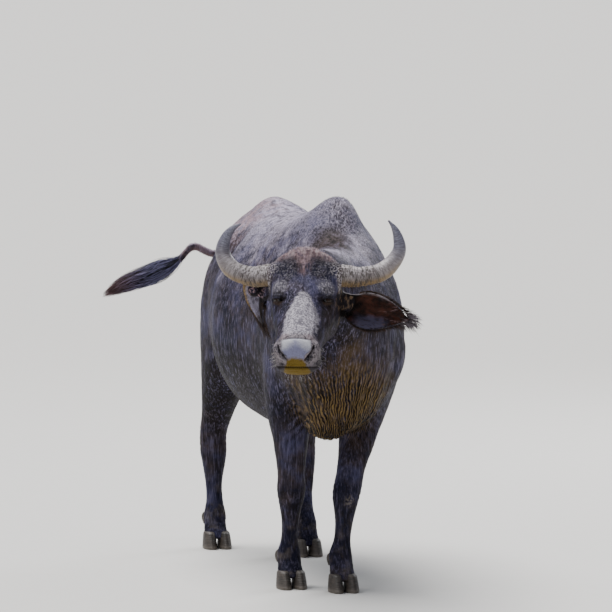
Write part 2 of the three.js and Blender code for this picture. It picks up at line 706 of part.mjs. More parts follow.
const LIMBS = {
  foreleg_left: { make: foreleg, top: [150, 55], knee: [36, -46], foot: [4, -62] },
  foreleg_right: { make: foreleg, top: [-146, 70], knee: [-154, 62], foot: [-156, 72] },
  hindleg_left: { make: hindleg, top: [142, 1165], knee: [116, 1105], foot: [98, 985] },
  hindleg_right: { make: hindleg, top: [-142, 1190], knee: [-190, 1296], foot: [-188, 1286] },
};
const LIMB_PLANES = {
  foreleg: { normal: vec(0, 0, -1), point: vec(0, 60, 640) },
  hindleg: { normal: vec(0, 0.25, -1).normalize(), point: vec(0, 1130, 800) },
};

const CLAW_SIDES = { inner: -1, outer: 1 };

function build() {
  const nodes = {};
  const around = trunk(GAP).add(udder(GAP));
  let body = trunk().add(udder());
  for (const [name, limb] of Object.entries(LIMBS)) {
    const [kind, flank] = name.split("_");
    const whole = limb.make(limb.foot, limb.knee, limb.top);
    const [lower, upper] = cutAcross(whole, LIMB_PLANES[kind]);
    const feet = [];
    for (const [which, turn] of Object.entries(CLAW_SIDES)) {
      const side = turn * SIDES[flank];
      nodes[`${name}_claw_${which}`] = [claw(limb.foot, side), "claw"];
      nodes[`${name}_dewclaw_${which}`] = [dewclaw(limb.foot, side), "claw"];
      feet.push(claw(limb.foot, side, GAP), dewclaw(limb.foot, side, GAP));
    }
    nodes[name] = [lower.subtract(around).subtract(union(feet)), "hide"];
    body = body.add(upper);
  }
  const flesh = body.add(onHead(headSolid())).subtract(onHead(headCuts())).subtract(wholeTail(GAP));
  const headPart = flesh.intersect(headRegion());
  const [neck, torso] = cutAcross(flesh.subtract(headRegion(GAP)), NECK_PLANE);
  const [core, tail] = cutAcross(wholeTail(), TUFT_START);
  const tuft = union([core, ...tailLocks()]);
  Object.assign(nodes, { head: [headPart, "hide"], neck: [neck, "hide"], torso: [torso, "hide"] });
  Object.assign(nodes, { tail: [tail, "hide"], tail_tuft: [tuft, "hair"] });
  for (const [name, side] of Object.entries(SIDES)) {
    nodes[`horn_${name}`] = [onHead(horn(name)), "horn"];
    nodes[`ear_${name}`] = [onHead(fringedEar(name)), "hide"];
    nodes[`eye_${name}`] = [onHead(ball(eyePlace(side), EYE_RADIUS)), "eye"];
  }
  return nodes;
}

const MATERIALS = {
  hide: new THREE.MeshStandardMaterial({ color: "#3a3436", roughness: 0.75, metalness: 0 }),
  horn: new THREE.MeshStandardMaterial({ color: "#8d8472", roughness: 0.6, metalness: 0 }),
  claw: new THREE.MeshStandardMaterial({ color: "#241f1d", roughness: 0.5, metalness: 0 }),
  hair: new THREE.MeshStandardMaterial({ color: "#1c1716", roughness: 0.8, metalness: 0 }),
  eye: new THREE.MeshStandardMaterial({ color: "#120d0a", roughness: 0.1, metalness: 0 }),
};

const buffalo = new THREE.Group();
for (const [name, [manifold, material]] of Object.entries(build())) {
  const mesh = new THREE.Mesh(geometryOf(largest(manifold)), MATERIALS[material]);
  mesh.name = name;
  buffalo.add(mesh);
}

// The origin is the middle of the object's box, on the floor.
const middle = new THREE.Box3().setFromObject(buffalo).getCenter(vec(0, 0, 0));
buffalo.position.set(-middle.x, -middle.y, 0);

export default buffalo;
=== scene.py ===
"""A life-size African buffalo cow, as a still museum model: its skin, coat, horns, claws and eyes."""
import math
from itertools import product

import bmesh
import bpy
import numpy as np
from mathutils import Matrix, Vector


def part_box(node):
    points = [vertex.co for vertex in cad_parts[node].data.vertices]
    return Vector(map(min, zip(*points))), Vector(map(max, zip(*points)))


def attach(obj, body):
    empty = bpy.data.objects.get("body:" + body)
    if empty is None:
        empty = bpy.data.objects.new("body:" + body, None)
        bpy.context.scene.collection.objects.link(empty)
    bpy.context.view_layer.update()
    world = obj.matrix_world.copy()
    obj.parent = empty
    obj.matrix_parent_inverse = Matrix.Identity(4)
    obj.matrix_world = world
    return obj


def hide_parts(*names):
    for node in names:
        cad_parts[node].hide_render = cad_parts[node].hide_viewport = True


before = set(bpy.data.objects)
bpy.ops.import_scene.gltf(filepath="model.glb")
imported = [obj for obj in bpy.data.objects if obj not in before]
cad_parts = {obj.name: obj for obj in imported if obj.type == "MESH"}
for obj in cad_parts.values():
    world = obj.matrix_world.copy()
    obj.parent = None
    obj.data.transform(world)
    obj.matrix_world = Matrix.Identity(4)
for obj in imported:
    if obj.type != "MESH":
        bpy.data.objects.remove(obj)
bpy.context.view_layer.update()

bl_info = {
    "name": "African Buffalo Cow",
    "version": (1, 0, 0),
    "blender": (4, 5, 0),
    "location": "View3D > Sidebar > Buffalo",
    "description": "Builds the skin, coat, horns, claws and eyes of a standing African buffalo cow",
    "category": "Object",
}

BODY = "root"
MM = 0.001
SIDES = {"left": 1, "right": -1}

# Places and shapes are in millimetres, in the cow's own numbers:
# she faces -Y, her left is +X and the floor is z = 0.
HEAD_ORIGIN = np.array([-232.0, -545.0, 1055.0])
HEAD_TURN = -18
HEAD_NOD = 30.6
EYE_RADIUS = 22
EYE_PLACE = np.array([80.0, -8.0, 28.0])


def turned(axis, degrees):
    """A rotation matrix about one axis."""
    return np.array(Matrix.Rotation(math.radians(degrees), 3, axis))


HEAD_AXES = turned("Z", HEAD_TURN) @ turned("X", HEAD_NOD)


def on_head(points):
    """From the head's own frame to the cow's."""
    return np.asarray(points, float) @ HEAD_AXES.T + HEAD_ORIGIN


def in_head(points):
    """From the cow's frame to the head's own."""
    return (np.asarray(points, float) - HEAD_ORIGIN) @ HEAD_AXES


def mirrored(point, side):
    return np.asarray(point, float) * (side, 1, 1)


eye_low, eye_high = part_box("eye_left")
SHIFT = (np.array(eye_low) + np.array(eye_high)) / 2 / MM - on_head(EYE_PLACE)


def to_frame(points):
    """From the cow's millimetres to the frame's metres."""
    return (np.asarray(points, float) + SHIFT) * MM


def from_frame(points):
    return np.asarray(points, float) / MM - SHIFT


# Numbers over surfaces


def through(values, shares):
    """A smooth curve through evenly spaced rows of values."""
    values = np.asarray(values, float)
    last = len(values) - 1
    at = np.clip(np.atleast_1d(shares), 0, 1) * last
    cell = np.minimum(np.floor(at).astype(int), last - 1)
    f = (at - cell).reshape(-1, *[1] * (values.ndim - 1))
    a, b, c, d = (values[np.clip(cell + k, 0, last)] for k in (-1, 0, 1, 2))
    return b + f * (c - a + f * (2 * a - 5 * b + 4 * c - d + f * (3 * b - a - 3 * c + d))) / 2


def power(value, n):
    return np.sign(value) * np.abs(value) ** (2 / n)


def step(low, high, value):
    """0 below low and 1 above high, smooth between, or the other way round where low is the higher."""
    t = np.clip((value - low) / (high - low), 0, 1)
    return t * t * (3 - 2 * t)


def bump(value, middle, width):
    """A soft ridge, 1 at the middle and gone past about twice the width."""
    return np.exp(-(((value - middle) / width) ** 2))


def near(points, centre, reach):
    """1 at the centre, falling to 0 at the edge of an ellipsoid."""
    square = (((points - np.asarray(centre, float)) / np.asarray(reach, float)) ** 2).sum(1)
    return np.clip(1 - square, 0, 1) ** 2


def noise(points, size, seed=0):
    """Smooth noise from -1 to 1 whose lumps are about the given size."""
    q = points / np.asarray(size, float) + 100.5
    cell = np.floor(q).astype(np.int64)
    f = q - cell
    f = f * f * (3 - 2 * f)
    total = np.zeros(len(points))
    for corner in product((0, 1), repeat=3):
        c = cell + corner
        h = c[:, 0] * 73856093 ^ c[:, 1] * 19349663 ^ c[:, 2] * 83492791 ^ (seed + 1) * 2654435761
        h = (h ^ h >> 13) * 1274126177 & 0x7FFFFFFF
        weight = np.where(corner, f, 1 - f).prod(1)
        total += weight * ((h >> 7 & 0xFFFF) / 32767.5 - 1)
    return total


def unit(vectors):
    return vectors / np.maximum(np.linalg.norm(vectors, axis=-1, keepdims=True), 1e-9)


class Curve:
    """A centripetal curve through points, read at even shares of its length."""

    def __init__(self, points, fine=400):
        p = np.asarray(points, float)
        p = np.vstack([2 * p[0] - p[1], p, 2 * p[-1] - p[-2]])
        rows = []
        for i in range(1, len(p) - 2):
            a, b, c, d = p[i - 1 : i + 3]
            gaps = [max(np.linalg.norm(m - n) ** 0.5, 1e-6) for m, n in ((a, b), (b, c), (c, d))]
            start = ((b - a) / gaps[0] - (c - a) / (gaps[0] + gaps[1]) + (c - b) / gaps[1]) * gaps[1]
            end = ((c - b) / gaps[1] - (d - b) / (gaps[1] + gaps[2]) + (d - c) / gaps[2]) * gaps[1]
            t = np.linspace(0, 1, fine // (len(p) - 3) + 2)[:, None]
            hermite = b * (2 * t**3 - 3 * t**2 + 1) + start * (t**3 - 2 * t**2 + t)
            hermite += c * (3 * t**2 - 2 * t**3) + end * (t**3 - t**2)
            rows.append(hermite[:-1])
        self.points = np.vstack(rows + [p[-2:-1]])
        steps = np.linalg.norm(np.diff(self.points, axis=0), axis=1)
        self.reach = np.concatenate([[0], np.cumsum(steps)])
        self.length = self.reach[-1]

    def at(self, shares):
        where = np.atleast_1d(shares) * self.length
        return np.stack([np.interp(where, self.reach, self.points[:, k]) for k in range(3)], 1)

    def along(self, shares):
        shares = np.atleast_1d(shares)
        return unit(self.at(np.minimum(shares + 0.01, 1)) - self.at(np.maximum(shares - 0.01, 0)))

    def nearest(self, points):
        """The distance of each point from the curve, and the share of its length where it is nearest."""
        best = np.full(len(points), 1e9)
        share = np.zeros(len(points))
        for s in np.linspace(0, 1, 61):
            far = np.linalg.norm(points - self.at(s), axis=1)
            closer = far < best
            best[closer] = far[closer]
            share[closer] = s
        return best, share


# Meshes


def skin_over(rings):
    """A closed skin over rings of points, with a fan at each end, as points and triangles."""
    count, around, _ = rings.shape
    points = np.vstack([rings.reshape(-1, 3), rings[0].mean(0), rings[-1].mean(0)])
    i, k = np.meshgrid(np.arange(count - 1), np.arange(around), indexing="ij")
    following = (k + 1) % around
    a, b = i * around + k, i * around + following
    c, d = a + around, b + around
    sides = np.concatenate([np.stack([a, b, d], -1).reshape(-1, 3), np.stack([a, d, c], -1).reshape(-1, 3)])
    k = np.arange(around)
    following = (k + 1) % around
    last = (count - 1) * around
    first_fan = np.stack([np.full(around, len(points) - 2), following, k], 1)
    last_fan = np.stack([np.full(around, len(points) - 1), last + k, last + following], 1)
    faces = np.vstack([sides, first_fan, last_fan])
    p, q, r = (points[faces[:, n]] for n in range(3))
    if (p * np.cross(q, r)).sum() < 0:
        faces = faces[:, ::-1]
    return points, faces


def joined(shells):
    """Several shells as one set of points and triangles."""
    offset = np.cumsum([0] + [len(points) for points, _ in shells[:-1]])
    return np.vstack([s[0] for s in shells]), np.vstack([s[1] + o for s, o in zip(shells, offset)])


def mesh_object(name, points, faces, material=None):
    mesh = bpy.data.meshes.new(name)
    faces = np.ascontiguousarray(faces, dtype=np.int32)
    mesh.vertices.add(len(points))
    mesh.vertices.foreach_set("co", to_frame(points).astype(np.float32).ravel())
    mesh.loops.add(faces.size)
    mesh.loops.foreach_set("vertex_index", faces.ravel())
    mesh.polygons.add(len(faces))
    mesh.polygons.foreach_set("loop_start", np.arange(len(faces), dtype=np.int32) * faces.shape[1])
    mesh.update(calc_edges=True)
    mesh.shade_smooth()
    if material:
        mesh.materials.append(material)
    made = bpy.data.objects.new(name, mesh)
    bpy.context.scene.collection.objects.link(made)
    return made


def arrays_of(mesh):
    """A mesh's points in the cow's millimetres, its normals and its edges."""
    count = len(mesh.vertices)
    points, normals = np.empty(count * 3, np.float32), np.empty(count * 3, np.float32)
    mesh.vertices.foreach_get("co", points)
    mesh.vertex_normals.foreach_get("vector", normals)
    edges = np.empty(len(mesh.edges) * 2, np.int32)
    mesh.edges.foreach_get("vertices", edges)
    return from_frame(points.reshape(-1, 3)), normals.reshape(-1, 3).astype(float), edges.reshape(-1, 2)


def numbers_on(mesh, name, values):
    """One number for each point, kept on the mesh for its material."""
    layer = mesh.attributes.new(name, "FLOAT", "POINT")
    layer.data.foreach_set("value", np.asarray(values, np.float32))


def put_back(mesh, points):
    mesh.vertices.foreach_set("co", to_frame(points).astype(np.float32).ravel())
    mesh.update()


def relaxed(points, edges, weight, rounds):
    """Points drawn towards the middle of their neighbours."""
    a, b = edges.T
    size = len(points)
    count = np.bincount(edges.ravel(), minlength=size)[:, None]
    weight = np.broadcast_to(np.asarray(weight, float), (size,))[:, None]
    for _ in range(rounds):
        total = np.empty_like(points)
        for k in range(3):
            total[:, k] = np.bincount(a, points[b, k], size) + np.bincount(b, points[a, k], size)
        points = points + weight * (total / count - points)
    return points


def with_modifier(made, kind, **settings):
    """The mesh of an object with one modifier applied."""
    modifier = made.modifiers.new("shape", kind)
    for key, value in settings.items():
        setattr(modifier, key, value)
    graph = bpy.context.evaluated_depsgraph_get()
    mesh = bpy.data.meshes.new_from_object(made.evaluated_get(graph))
    made.modifiers.clear()
    old = made.data
    made.data = mesh
    bpy.data.meshes.remove(old)
    mesh.name = made.name
    return mesh


def refine(mesh, chosen):
    """Halves the faces whose corners are all among the chosen points."""
    _, _, edges = arrays_of(mesh)
    picked = np.flatnonzero(chosen[edges].all(1))
    bm = bmesh.new()
    bm.from_mesh(mesh)
    bm.edges.ensure_lookup_table()
    bmesh.ops.subdivide_edges(bm, edges=[bm.edges[i] for i in picked], cuts=1, use_grid_fill=True)
    bm.to_mesh(mesh)
    bm.free()
    mesh.shade_smooth()


def rod(points, radii, steps, around, ripple=None):
    """A round rod along a curve. ripple changes its radius with its share of length and its angle."""
    curve = Curve(points)
    shares = np.linspace(0, 1, steps + 1)
    centres, along = curve.at(shares), curve.along(shares)
    normal = unit(np.cross(along[0], np.eye(3)[np.argmin(np.abs(along[0]))]))
    angle = np.arange(around) / around * 2 * np.pi
    rings = []
    for i, share in enumerate(shares):
        normal = unit(normal - along[i] * (normal @ along[i]))
        binormal = np.cross(along[i], normal)
        radius = through(radii, share)[0] + (ripple(share, angle) if ripple else 0)
        radius = np.broadcast_to(radius, (around,))[:, None]
        circle = normal * np.cos(angle)[:, None] + binormal * np.sin(angle)[:, None]
        rings.append(centres[i] + radius * circle)
    return skin_over(np.array(rings))


POLE_GAP = 0.02  # the angle that an ellipsoid's fans close at each pole


def ellipsoid(centre, radii, around=32, tall=20):
    v = np.linspace(POLE_GAP, np.pi - POLE_GAP, tall)[:, None]
    u = np.arange(around) / around * 2 * np.pi
    ball = np.stack([np.sin(v) * np.cos(u), np.sin(v) * np.sin(u), np.cos(v) * np.ones_like(u)], -1)
    return skin_over(ball * np.asarray(radii, float) + np.asarray(centre, float))


# Strands: tufts and locks are thin tapered bodies of few sides


def strands(paths, facing, widths, thickness, sides=4):
    """Closed tapered strands, whose last point is their tip. facing is where their flat side looks."""
    count, rows, _ = paths.shape
    along = unit(np.gradient(paths, axis=1))
    across = unit(np.cross(facing, along))
    out = np.cross(along, across)
    w, t = widths[..., None] / 2, thickness[..., None] / 2
    corners = [across * w, out * t, -across * w, -out * t][:sides]
    rings = np.stack([(paths + corner)[:, :-1] for corner in corners], 2)
    points = np.concatenate([rings.reshape(count, -1, 3), paths[:, -1:]], 1)
    each = points.shape[1]
    faces = []
    for k in range(sides):
        following = (k + 1) % sides
        for i in range(rows - 2):
            a, b = i * sides + k, i * sides + following
            faces += [(a, b, b + sides), (a, b + sides, a + sides)]
        last = (rows - 2) * sides
        faces.append((last + k, last + following, each - 1))
    faces += [(0, k + 1, k) for k in range(1, sides - 1)]
    faces = np.array(faces)[None] + (np.arange(count) * each)[:, None, None]
    ring_u = np.repeat(np.linspace(0, 1, rows)[:-1], sides)
    side_u = np.tile(np.arange(sides) / (sides - 1), rows - 1)
    patch = np.stack([np.append(side_u, 0.5), np.append(ring_u, 1)], 1) - 0.5
    return points.reshape(-1, 3), faces.reshape(-1, 3), patch


PATCH = 0.003  # how wide a tuft's place is on the unwrap


def strand_object(name, made, places, material, tone):
    """An object of strands, each a small patch at its root's place on the unwrap, with a tone of its own."""
    points, faces, patch = made
    piece = mesh_object(name, points, faces, material)
    spots = (np.clip(places, 0.01, 0.99)[:, None] + PATCH * patch[None]).reshape(-1, 2)
    layer = piece.data.uv_layers.new(name="OFBake")
    layer.data.foreach_set("uv", spots[faces.ravel()].astype(np.float32).ravel())
    numbers_on(piece.data, "tone", np.repeat(tone, len(patch)))
    return piece


# Shader maths


def maths(operation, turned=False):
    """An operator that adds a Math node."""

    def added(first, second):
        values = (second, first) if turned else (first, second)
        return first.shader.math(operation, *values)

    return added


class Value:
    """One output of a shader node. Python's operators on it add Math nodes."""

    __add__ = __radd__ = maths("ADD")
    __sub__ = maths("SUBTRACT")
    __rsub__ = maths("SUBTRACT", turned=True)
    __mul__ = __rmul__ = maths("MULTIPLY")
    __truediv__ = maths("DIVIDE")

    def __init__(self, shader, socket):
        self.shader = shader
        self.socket = socket

    def clamped(self):
        return self.shader.math("MULTIPLY", self, 1.0, use_clamp=True)


class Shader:
    """A material's node tree, painted in layers. Places are in the cow's millimetres."""

    def __init__(self, name):
        self.material = bpy.data.materials.new(name)
        self.material.use_nodes = True
        self.tree = self.material.node_tree
        self.tree.nodes.clear()
        self.colour = None
        own = self.node("ShaderNodeTexCoord", output="Object")
        self.place = self.vector("SUBTRACT", self.vector("MULTIPLY", own, (1 / MM,) * 3), tuple(SHIFT))
        self.x, self.y, self.z = self.split(self.place)
        # Which way the surface faces, which the materials use to paint light and shade.
        self.up = self.split(self.node("ShaderNodeTexCoord", output="Normal"))[2]
        from_head = self.vector("SUBTRACT", self.place, tuple(HEAD_ORIGIN))
        axes = (tuple(HEAD_AXES[:, k]) for k in range(3))
        self.head_x, self.head_y, self.head_z = (
            self.vector("DOT_PRODUCT", from_head, axis, output="Value") for axis in axes
        )
        self.head_across = self.math("ABSOLUTE", self.head_x)
        self.head_place = self.joined(self.head_x, self.head_y, self.head_z)
        self.head_mirrored = self.joined(self.head_across, self.head_y, self.head_z)

    def node(self, kind, settings=None, inputs=None, output=0):
        made = self.tree.nodes.new(kind)
        for key, value in (settings or {}).items():
            setattr(made, key, value)
        for key, value in (inputs or {}).items():
            if isinstance(value, Value):
                self.tree.links.new(value.socket, made.inputs[key])
            else:
                made.inputs[key].default_value = value
        return Value(self, made.outputs[output])

    def math(self, operation, *values, **settings):
        return self.node("ShaderNodeMath", {"operation": operation, **settings}, dict(enumerate(values)))

    def vector(self, operation, *values, output="Vector"):
        return self.node("ShaderNodeVectorMath", {"operation": operation}, dict(enumerate(values)), output)

    def split(self, vector):
        made = self.node("ShaderNodeSeparateXYZ", inputs={0: vector}).socket.node
        return [Value(self, made.outputs[k]) for k in range(3)]

    def joined(self, x, y, z):
        return self.node("ShaderNodeCombineXYZ", inputs={0: x, 1: y, 2: z})

    def mix(self, share, first, second):
        """A colour between two, each from a node or from the panel, by a share from 0 to 1."""
        first, second = (shade if isinstance(shade, Value) else rgba(shade) for shade in (first, second))
        return self.node("ShaderNodeMix", {"data_type": "RGBA"}, {0: share, 6: first, 7: second}, output=2)

    def paint(self, share, shade):
        """Lays a shade over the colour so far, by a share from 0 to 1."""
        self.colour = self.mix(share, self.colour, shade)

    def step(self, value, low, high):
        """The same smooth step as a node."""
        turn = low > high
        settings = {"interpolation_type": "SMOOTHSTEP"}
        inputs = {0: value, 1: min(low, high), 2: max(low, high), 3: float(turn), 4: float(not turn)}
        return self.node("ShaderNodeMapRange", settings, inputs)

    def near(self, place, centre, reach, inner=0.0):
        """1 round a centre, falling to 0 at the edge of an ellipsoid."""
        scaled = self.vector("DIVIDE", self.vector("SUBTRACT", place, tuple(centre)), tuple(reach))
        return self.step(self.vector("LENGTH", scaled, output="Value"), 1.0, inner)

    def noise(self, place, size, detail=3.0, rough=0.55, stretch=(1, 1, 1)):
        """Noise from 0 to 1 with lumps of about a size, in millimetres."""
        scaled = self.vector("DIVIDE", place, tuple(size * s for s in stretch))
        inputs = {"Vector": scaled, "Scale": 1.0, "Detail": detail, "Roughness": rough}
        return self.node("ShaderNodeTexNoise", inputs=inputs, output="Fac")

    def cells(self, place, size, feature):
        """Distances in a pattern of cells of about a size, in millimetres."""
        inputs = {"Vector": self.vector("DIVIDE", place, (size,) * 3), "Scale": 1.0}
        return self.node("ShaderNodeTexVoronoi", {"feature": feature}, inputs, output="Distance")

    def attribute(self, name):
        return self.node("ShaderNodeAttribute", {"attribute_name": name}, output="Fac")

    def finish(self, roughness, height, bump_distance, **fixed):
        """The Principled surface in the painted colour: fixed values are set on its own sockets."""
        relief = {"Height": height, "Distance": bump_distance, "Strength": 1.0}
        normal = self.node("ShaderNodeBump", inputs=relief)
        inputs = {"Base Color": self.colour, "Roughness": roughness, "Normal": normal}
        inputs.update({key.replace("_", " "): value for key, value in fixed.items()})
        surface = self.node("ShaderNodeBsdfPrincipled", inputs=inputs)
        output = self.tree.nodes.new("ShaderNodeOutputMaterial")
        self.tree.links.new(surface.socket, output.inputs["Surface"])
        return self.material


def colours():
    return bpy.context.scene.buffalo_colours


def sizes():
    return bpy.context.scene.buffalo_sizes


def rgba(colour):
    return (*colour, 1.0)


# The bald nose bridge: places along the head, and its half width there
BALD_EDGE = [(-262, 57), (-225, 53), (-165, 57), (-105, 48), (-75, 34), (-44, 17), (-30, 0)]


def trunk_markings(s, patchy, speckle):
    """Patches of the hide, painted highlights on the streaks of its hair, painted shade on its underside, and
    dust and painted sky sheen on the upward-facing back.
    """
    c = colours()
    broad = s.noise(s.place, 240, 3)
    s.colour = s.mix(s.step(broad * 0.6 + patchy * 0.5, 0.42, 0.74), c.hide_dark, c.hide_brown)
    s.paint(s.step(s.noise(s.place, 120, 4), 0.44, 0.66) * 0.75, c.blue_hide_and_sheen)
    hanging = s.noise(s.place, 6, 4, 0.7, (1, 1.3, 10))
    swept = s.noise(s.place, 6, 4, 0.65, (3.5, 9, 3))
    upper = s.step(s.up, 0.7, 0.95)
    streaks = hanging + (swept - hanging) * upper
    # Painted highlight: light that the flat hair catches, stronger higher up.
    s.paint(s.step(streaks, 0.5, 0.64) * (0.25 + s.step(s.z, 520, 760) * 0.3), c.streak)
    s.paint(s.step(streaks, 0.48, 0.36) * 0.65, c.black_hide_and_shade)
    # Painted shade on the underside and on the low flank behind the forelegs.
    low_flank = s.step(s.z, 960, 660) * s.step(s.y, 60, 190) * s.step(s.z, 470, 540)
    under = (s.step(s.up, 0.05, -0.5) * 0.85 + low_flank * 0.75).clamped()
    s.paint(under * s.step(streaks, 0.66, 0.45), c.black_hide_and_shade)
    crest = s.near(s.place, (-50, -130, 1255), (112, 215, 120), 0.3)
    # Painted sky sheen: hide that faces up along the back is painted paler, along with its dust.
    sky_lit_top = s.step(s.up + (patchy - 0.5) * 0.8, 0.3, 0.95) * s.step(s.z, 900, 1080)
    sky_lit_top = sky_lit_top * s.step(s.y, -400, -300) * (s.step(streaks, 0.36, 0.6) * 0.6 + 0.25)
    s.paint(sky_lit_top * (1 - crest), c.back_dust_and_sheen)
    dark_hair = s.mix(s.step(streaks, 0.4, 0.56), c.black_hide_and_shade, c.hide_brown)
    s.paint(crest * (0.6 + s.step(streaks, 0.62, 0.46) * 0.4), dark_hair)
    tail = s.step(s.y, 1465, 1505) * s.step(patchy, 0.3, 0.6)
    s.paint(tail * 0.4, c.red_hide_and_glint)
    hip = s.near(s.place, (-215, 860, 1190), (130, 280, 95), 0.3) * s.step(streaks, 0.62, 0.4)
    s.paint(hip * 0.75, c.black_hide_and_shade)
    # Painted sky sheen on the withers, as bluish patches.
    withers = s.near(s.place, (-70, 120, 1290), (130, 220, 110), 0.2) * s.step(patchy, 0.4, 0.6)
    s.paint(withers * 0.5, c.blue_hide_and_sheen)
    # Reddish patches on top of the rump, partly painted highlight.
    rump = s.near(s.place, (-130, 1060, 1290), (220, 340, 220), 0.1)
    s.paint(rump * s.step(patchy, 0.35, 0.6) * 0.7, c.red_hide_and_glint)
    poll = s.near(s.head_place, (0, 150, 122), (190, 75, 62), 0.35)
    s.paint(poll * s.step(speckle, 0.3, 0.55) * 0.85, c.red_hide_and_glint)


def on_skull(s, rear, front):
    """1 on the head, up to where it joins the neck and the ears."""
    skull = s.step(s.head_y, rear, front) * s.step(s.head_z, -235, -225)
    return skull * s.step(s.head_across, 150, 130)


def head_markings(s):
    """Poll, forehead, brows, horn roots and cheeks, the left ear's stalk, and painted shadow between the
    right ear and the cheek.
    """
    c = colours()
    across, y, z = s.head_across, s.head_y, s.head_z
    on_head = on_skull(s, 175, 150)
    lumps = s.noise(s.head_place, 22, 3)
    flowing = s.noise(s.head_place, 7, 3, 0.6, (1.2, 5, 3))
    specks = s.step(s.noise(s.head_place, 6, 3), 0.46, 0.62)
    crown = s.near(s.head_place, (0, 150, 118), (135, 80, 60), 0.35) * s.step(flowing, 0.42, 0.62)
    s.paint(crown * 0.85 * on_head, c.poll_pale)
    middle = s.near(s.head_place, (0, 84, 108), (46, 60, 80), 0.3) * s.step(flowing, 0.35, 0.6) * on_head
    s.paint(middle * 0.6, c.red_hide_and_glint)
    front = s.near(s.head_mirrored, (58, 64, 98), (58, 66, 90), 0.45) * on_head
    shaded = s.mix(specks * 0.38, c.hide_dark, c.brow_pale)
    s.paint(front * s.step(lumps, 0.25, 0.5) * 0.8, shaded)
    brow = s.near(s.head_mirrored, (80, 6, 68), (46, 36, 46), 0.35) * on_head
    pebbled = s.mix(specks * 0.7, c.bald_dark, c.bald_grey)
    s.paint(brow * s.step(lumps, 0.2, 0.5) * 0.85, pebbled)
    sleeve = s.step(across, 84, 112) * s.step(y, 40, 60) * s.step(z, 4, 24) * on_head
    s.paint(sleeve * s.step(specks + lumps, 0.5, 1.3) * 0.8, c.horn_grey)
    cheek = s.step(across + (lumps - 0.5) * 20, 52, 78) * s.step(y, 30, -20)
    cheek = cheek * s.step(y, -262, -200) * on_head
    s.paint(cheek * s.step(flowing, 0.62, 0.4) * 0.75, c.black_hide_and_shade)
    stalk = s.step(s.head_x, 104, 118) * s.step(s.head_x, 200, 172) * s.step(y, -60, -20)
    stalk = stalk * s.step(y, 130, 100) * s.step(z, 42, 30) * s.step(z, -150, -120)
    s.paint(stalk * 0.92, s.mix(s.step(flowing, 0.5, 0.64), c.black_hide_and_shade, c.stalk_hair))
    # Painted shadow between the right ear and the cheek, partly black hair.
    gap = s.near(s.head_place, (-136, -6, -70), (36, 120, 86), 0.4)
    s.paint(gap * 0.85, c.hollow)


def dust_and_mud(s, patchy, speckle):
    """Dust on brisket and throat, and dried mud on knee and shins."""
    c = colours()
    dust = s.near(s.place, (-20, -190, 690), (260, 240, 250), 0.15)
    throat = s.near(s.place, (-30, -280, 860), (120, 180, 170), 0.1)
    dust = (dust + throat * 0.6) * s.step(patchy * 0.7 + speckle * 0.4, 0.36, 0.62)
    s.paint((dust * s.step(s.up, -0.7, -0.25)).clamped() * 0.8, c.dust)
    knee = s.near(s.place, (30, -104, 318), (30, 44, 34), 0.1) * s.step(speckle, 0.4, 0.6)
    shins = s.step(s.z, 330, 60) * s.step(patchy, 0.45, 0.7)
    s.paint((knee * 0.7 + shins * 0.3).clamped(), c.mud)


def hide_markings(s):
    """The colour of the hide, which skin and coat share, from where a point lies on the cow and which way it
    faces, with painted shade and painted sheen.
    """
    patchy = s.noise(s.place, 46, 4)
    speckle = s.noise(s.place, 9, 2)
    trunk_markings(s, patchy, speckle)
    head_markings(s)
    dust_and_mud(s, patchy, speckle)


# Forms of the body


def station(y, z, up, down, w, crown, keel, x=0, tilt=0, turn=0):
    return [x, y, z, up, down, w, crown, keel, tilt, turn]


TRUNK = [
    station(1442, 1050, 40, 60, 45, 2, 2, x=6),
    station(1395, 1035, 130, 190, 145, 1.9, 2, x=6),
    station(1285, 1010, 260, 310, 215, 1.8, 2, x=6),
    station(1150, 965, 350, 345, 252, 1.7, 2, x=8),
    station(1000, 925, 402, 362, 276, 1.68, 2, x=10),
    station(830, 885, 422, 352, 306, 1.78, 2, x=10),
    station(650, 865, 440, 348, 330, 1.95, 1.95, x=10),
    station(460, 855, 455, 342, 306, 1.95, 2, x=12),
    station(280, 855, 485, 334, 274, 1.97, 1.95, x=18),
    station(120, 865, 488, 322, 250, 1.85, 1.9, x=16),
    station(-30, 880, 440, 322, 226, 1.8, 1.85, x=4, tilt=6, turn=-4),
    station(-150, 930, 332, 340, 196, 1.85, 1.8, x=-20, tilt=10, turn=-8),
    station(-245, 985, 255, 290, 165, 1.9, 1.8, x=-62, tilt=8, turn=-12),
    station(-320, 1035, 200, 225, 143, 1.9, 1.9, x=-108, tilt=2, turn=-15),
    station(-385, 1062, 174, 160, 126, 2, 2, x=-155, tilt=-8, turn=-18),
    station(-440, 1085, 125, 110, 98, 2, 2, x=-184, tilt=-10, turn=-18),
    station(-478, 1095, 50, 45, 40, 2, 2, x=-198, tilt=-10, turn=-18),
]
HEAD = [
    station(215, 20, 60, 70, 60, 2, 2),
    station(175, 10, 104, 140, 98, 2.2, 2.2),
    station(130, 20, 112, 195, 116, 2.3, 2.4),
    station(80, 24, 100, 222, 121, 2.5, 2.5),
    station(30, 18, 82, 214, 118, 2.4, 2.5),
    station(-15, 8, 80, 188, 109, 2, 2.3),
    station(-60, -6, 82, 154, 99, 1.85, 2.2),
    station(-105, -14, 82, 126, 91, 1.95, 2.2),
    station(-150, -18, 80, 106, 84, 2.15, 2.2),
    station(-195, -20, 77, 92, 79, 2.3, 2.3),
    station(-235, -20, 74, 86, 79, 2.4, 2.4),
    station(-268, -22, 69, 78, 78, 2.4, 2.5),
    station(-294, -26, 56, 60, 67, 2.3, 2.4),
    station(-311, -30, 28, 30, 40, 2.1, 2.2),
]

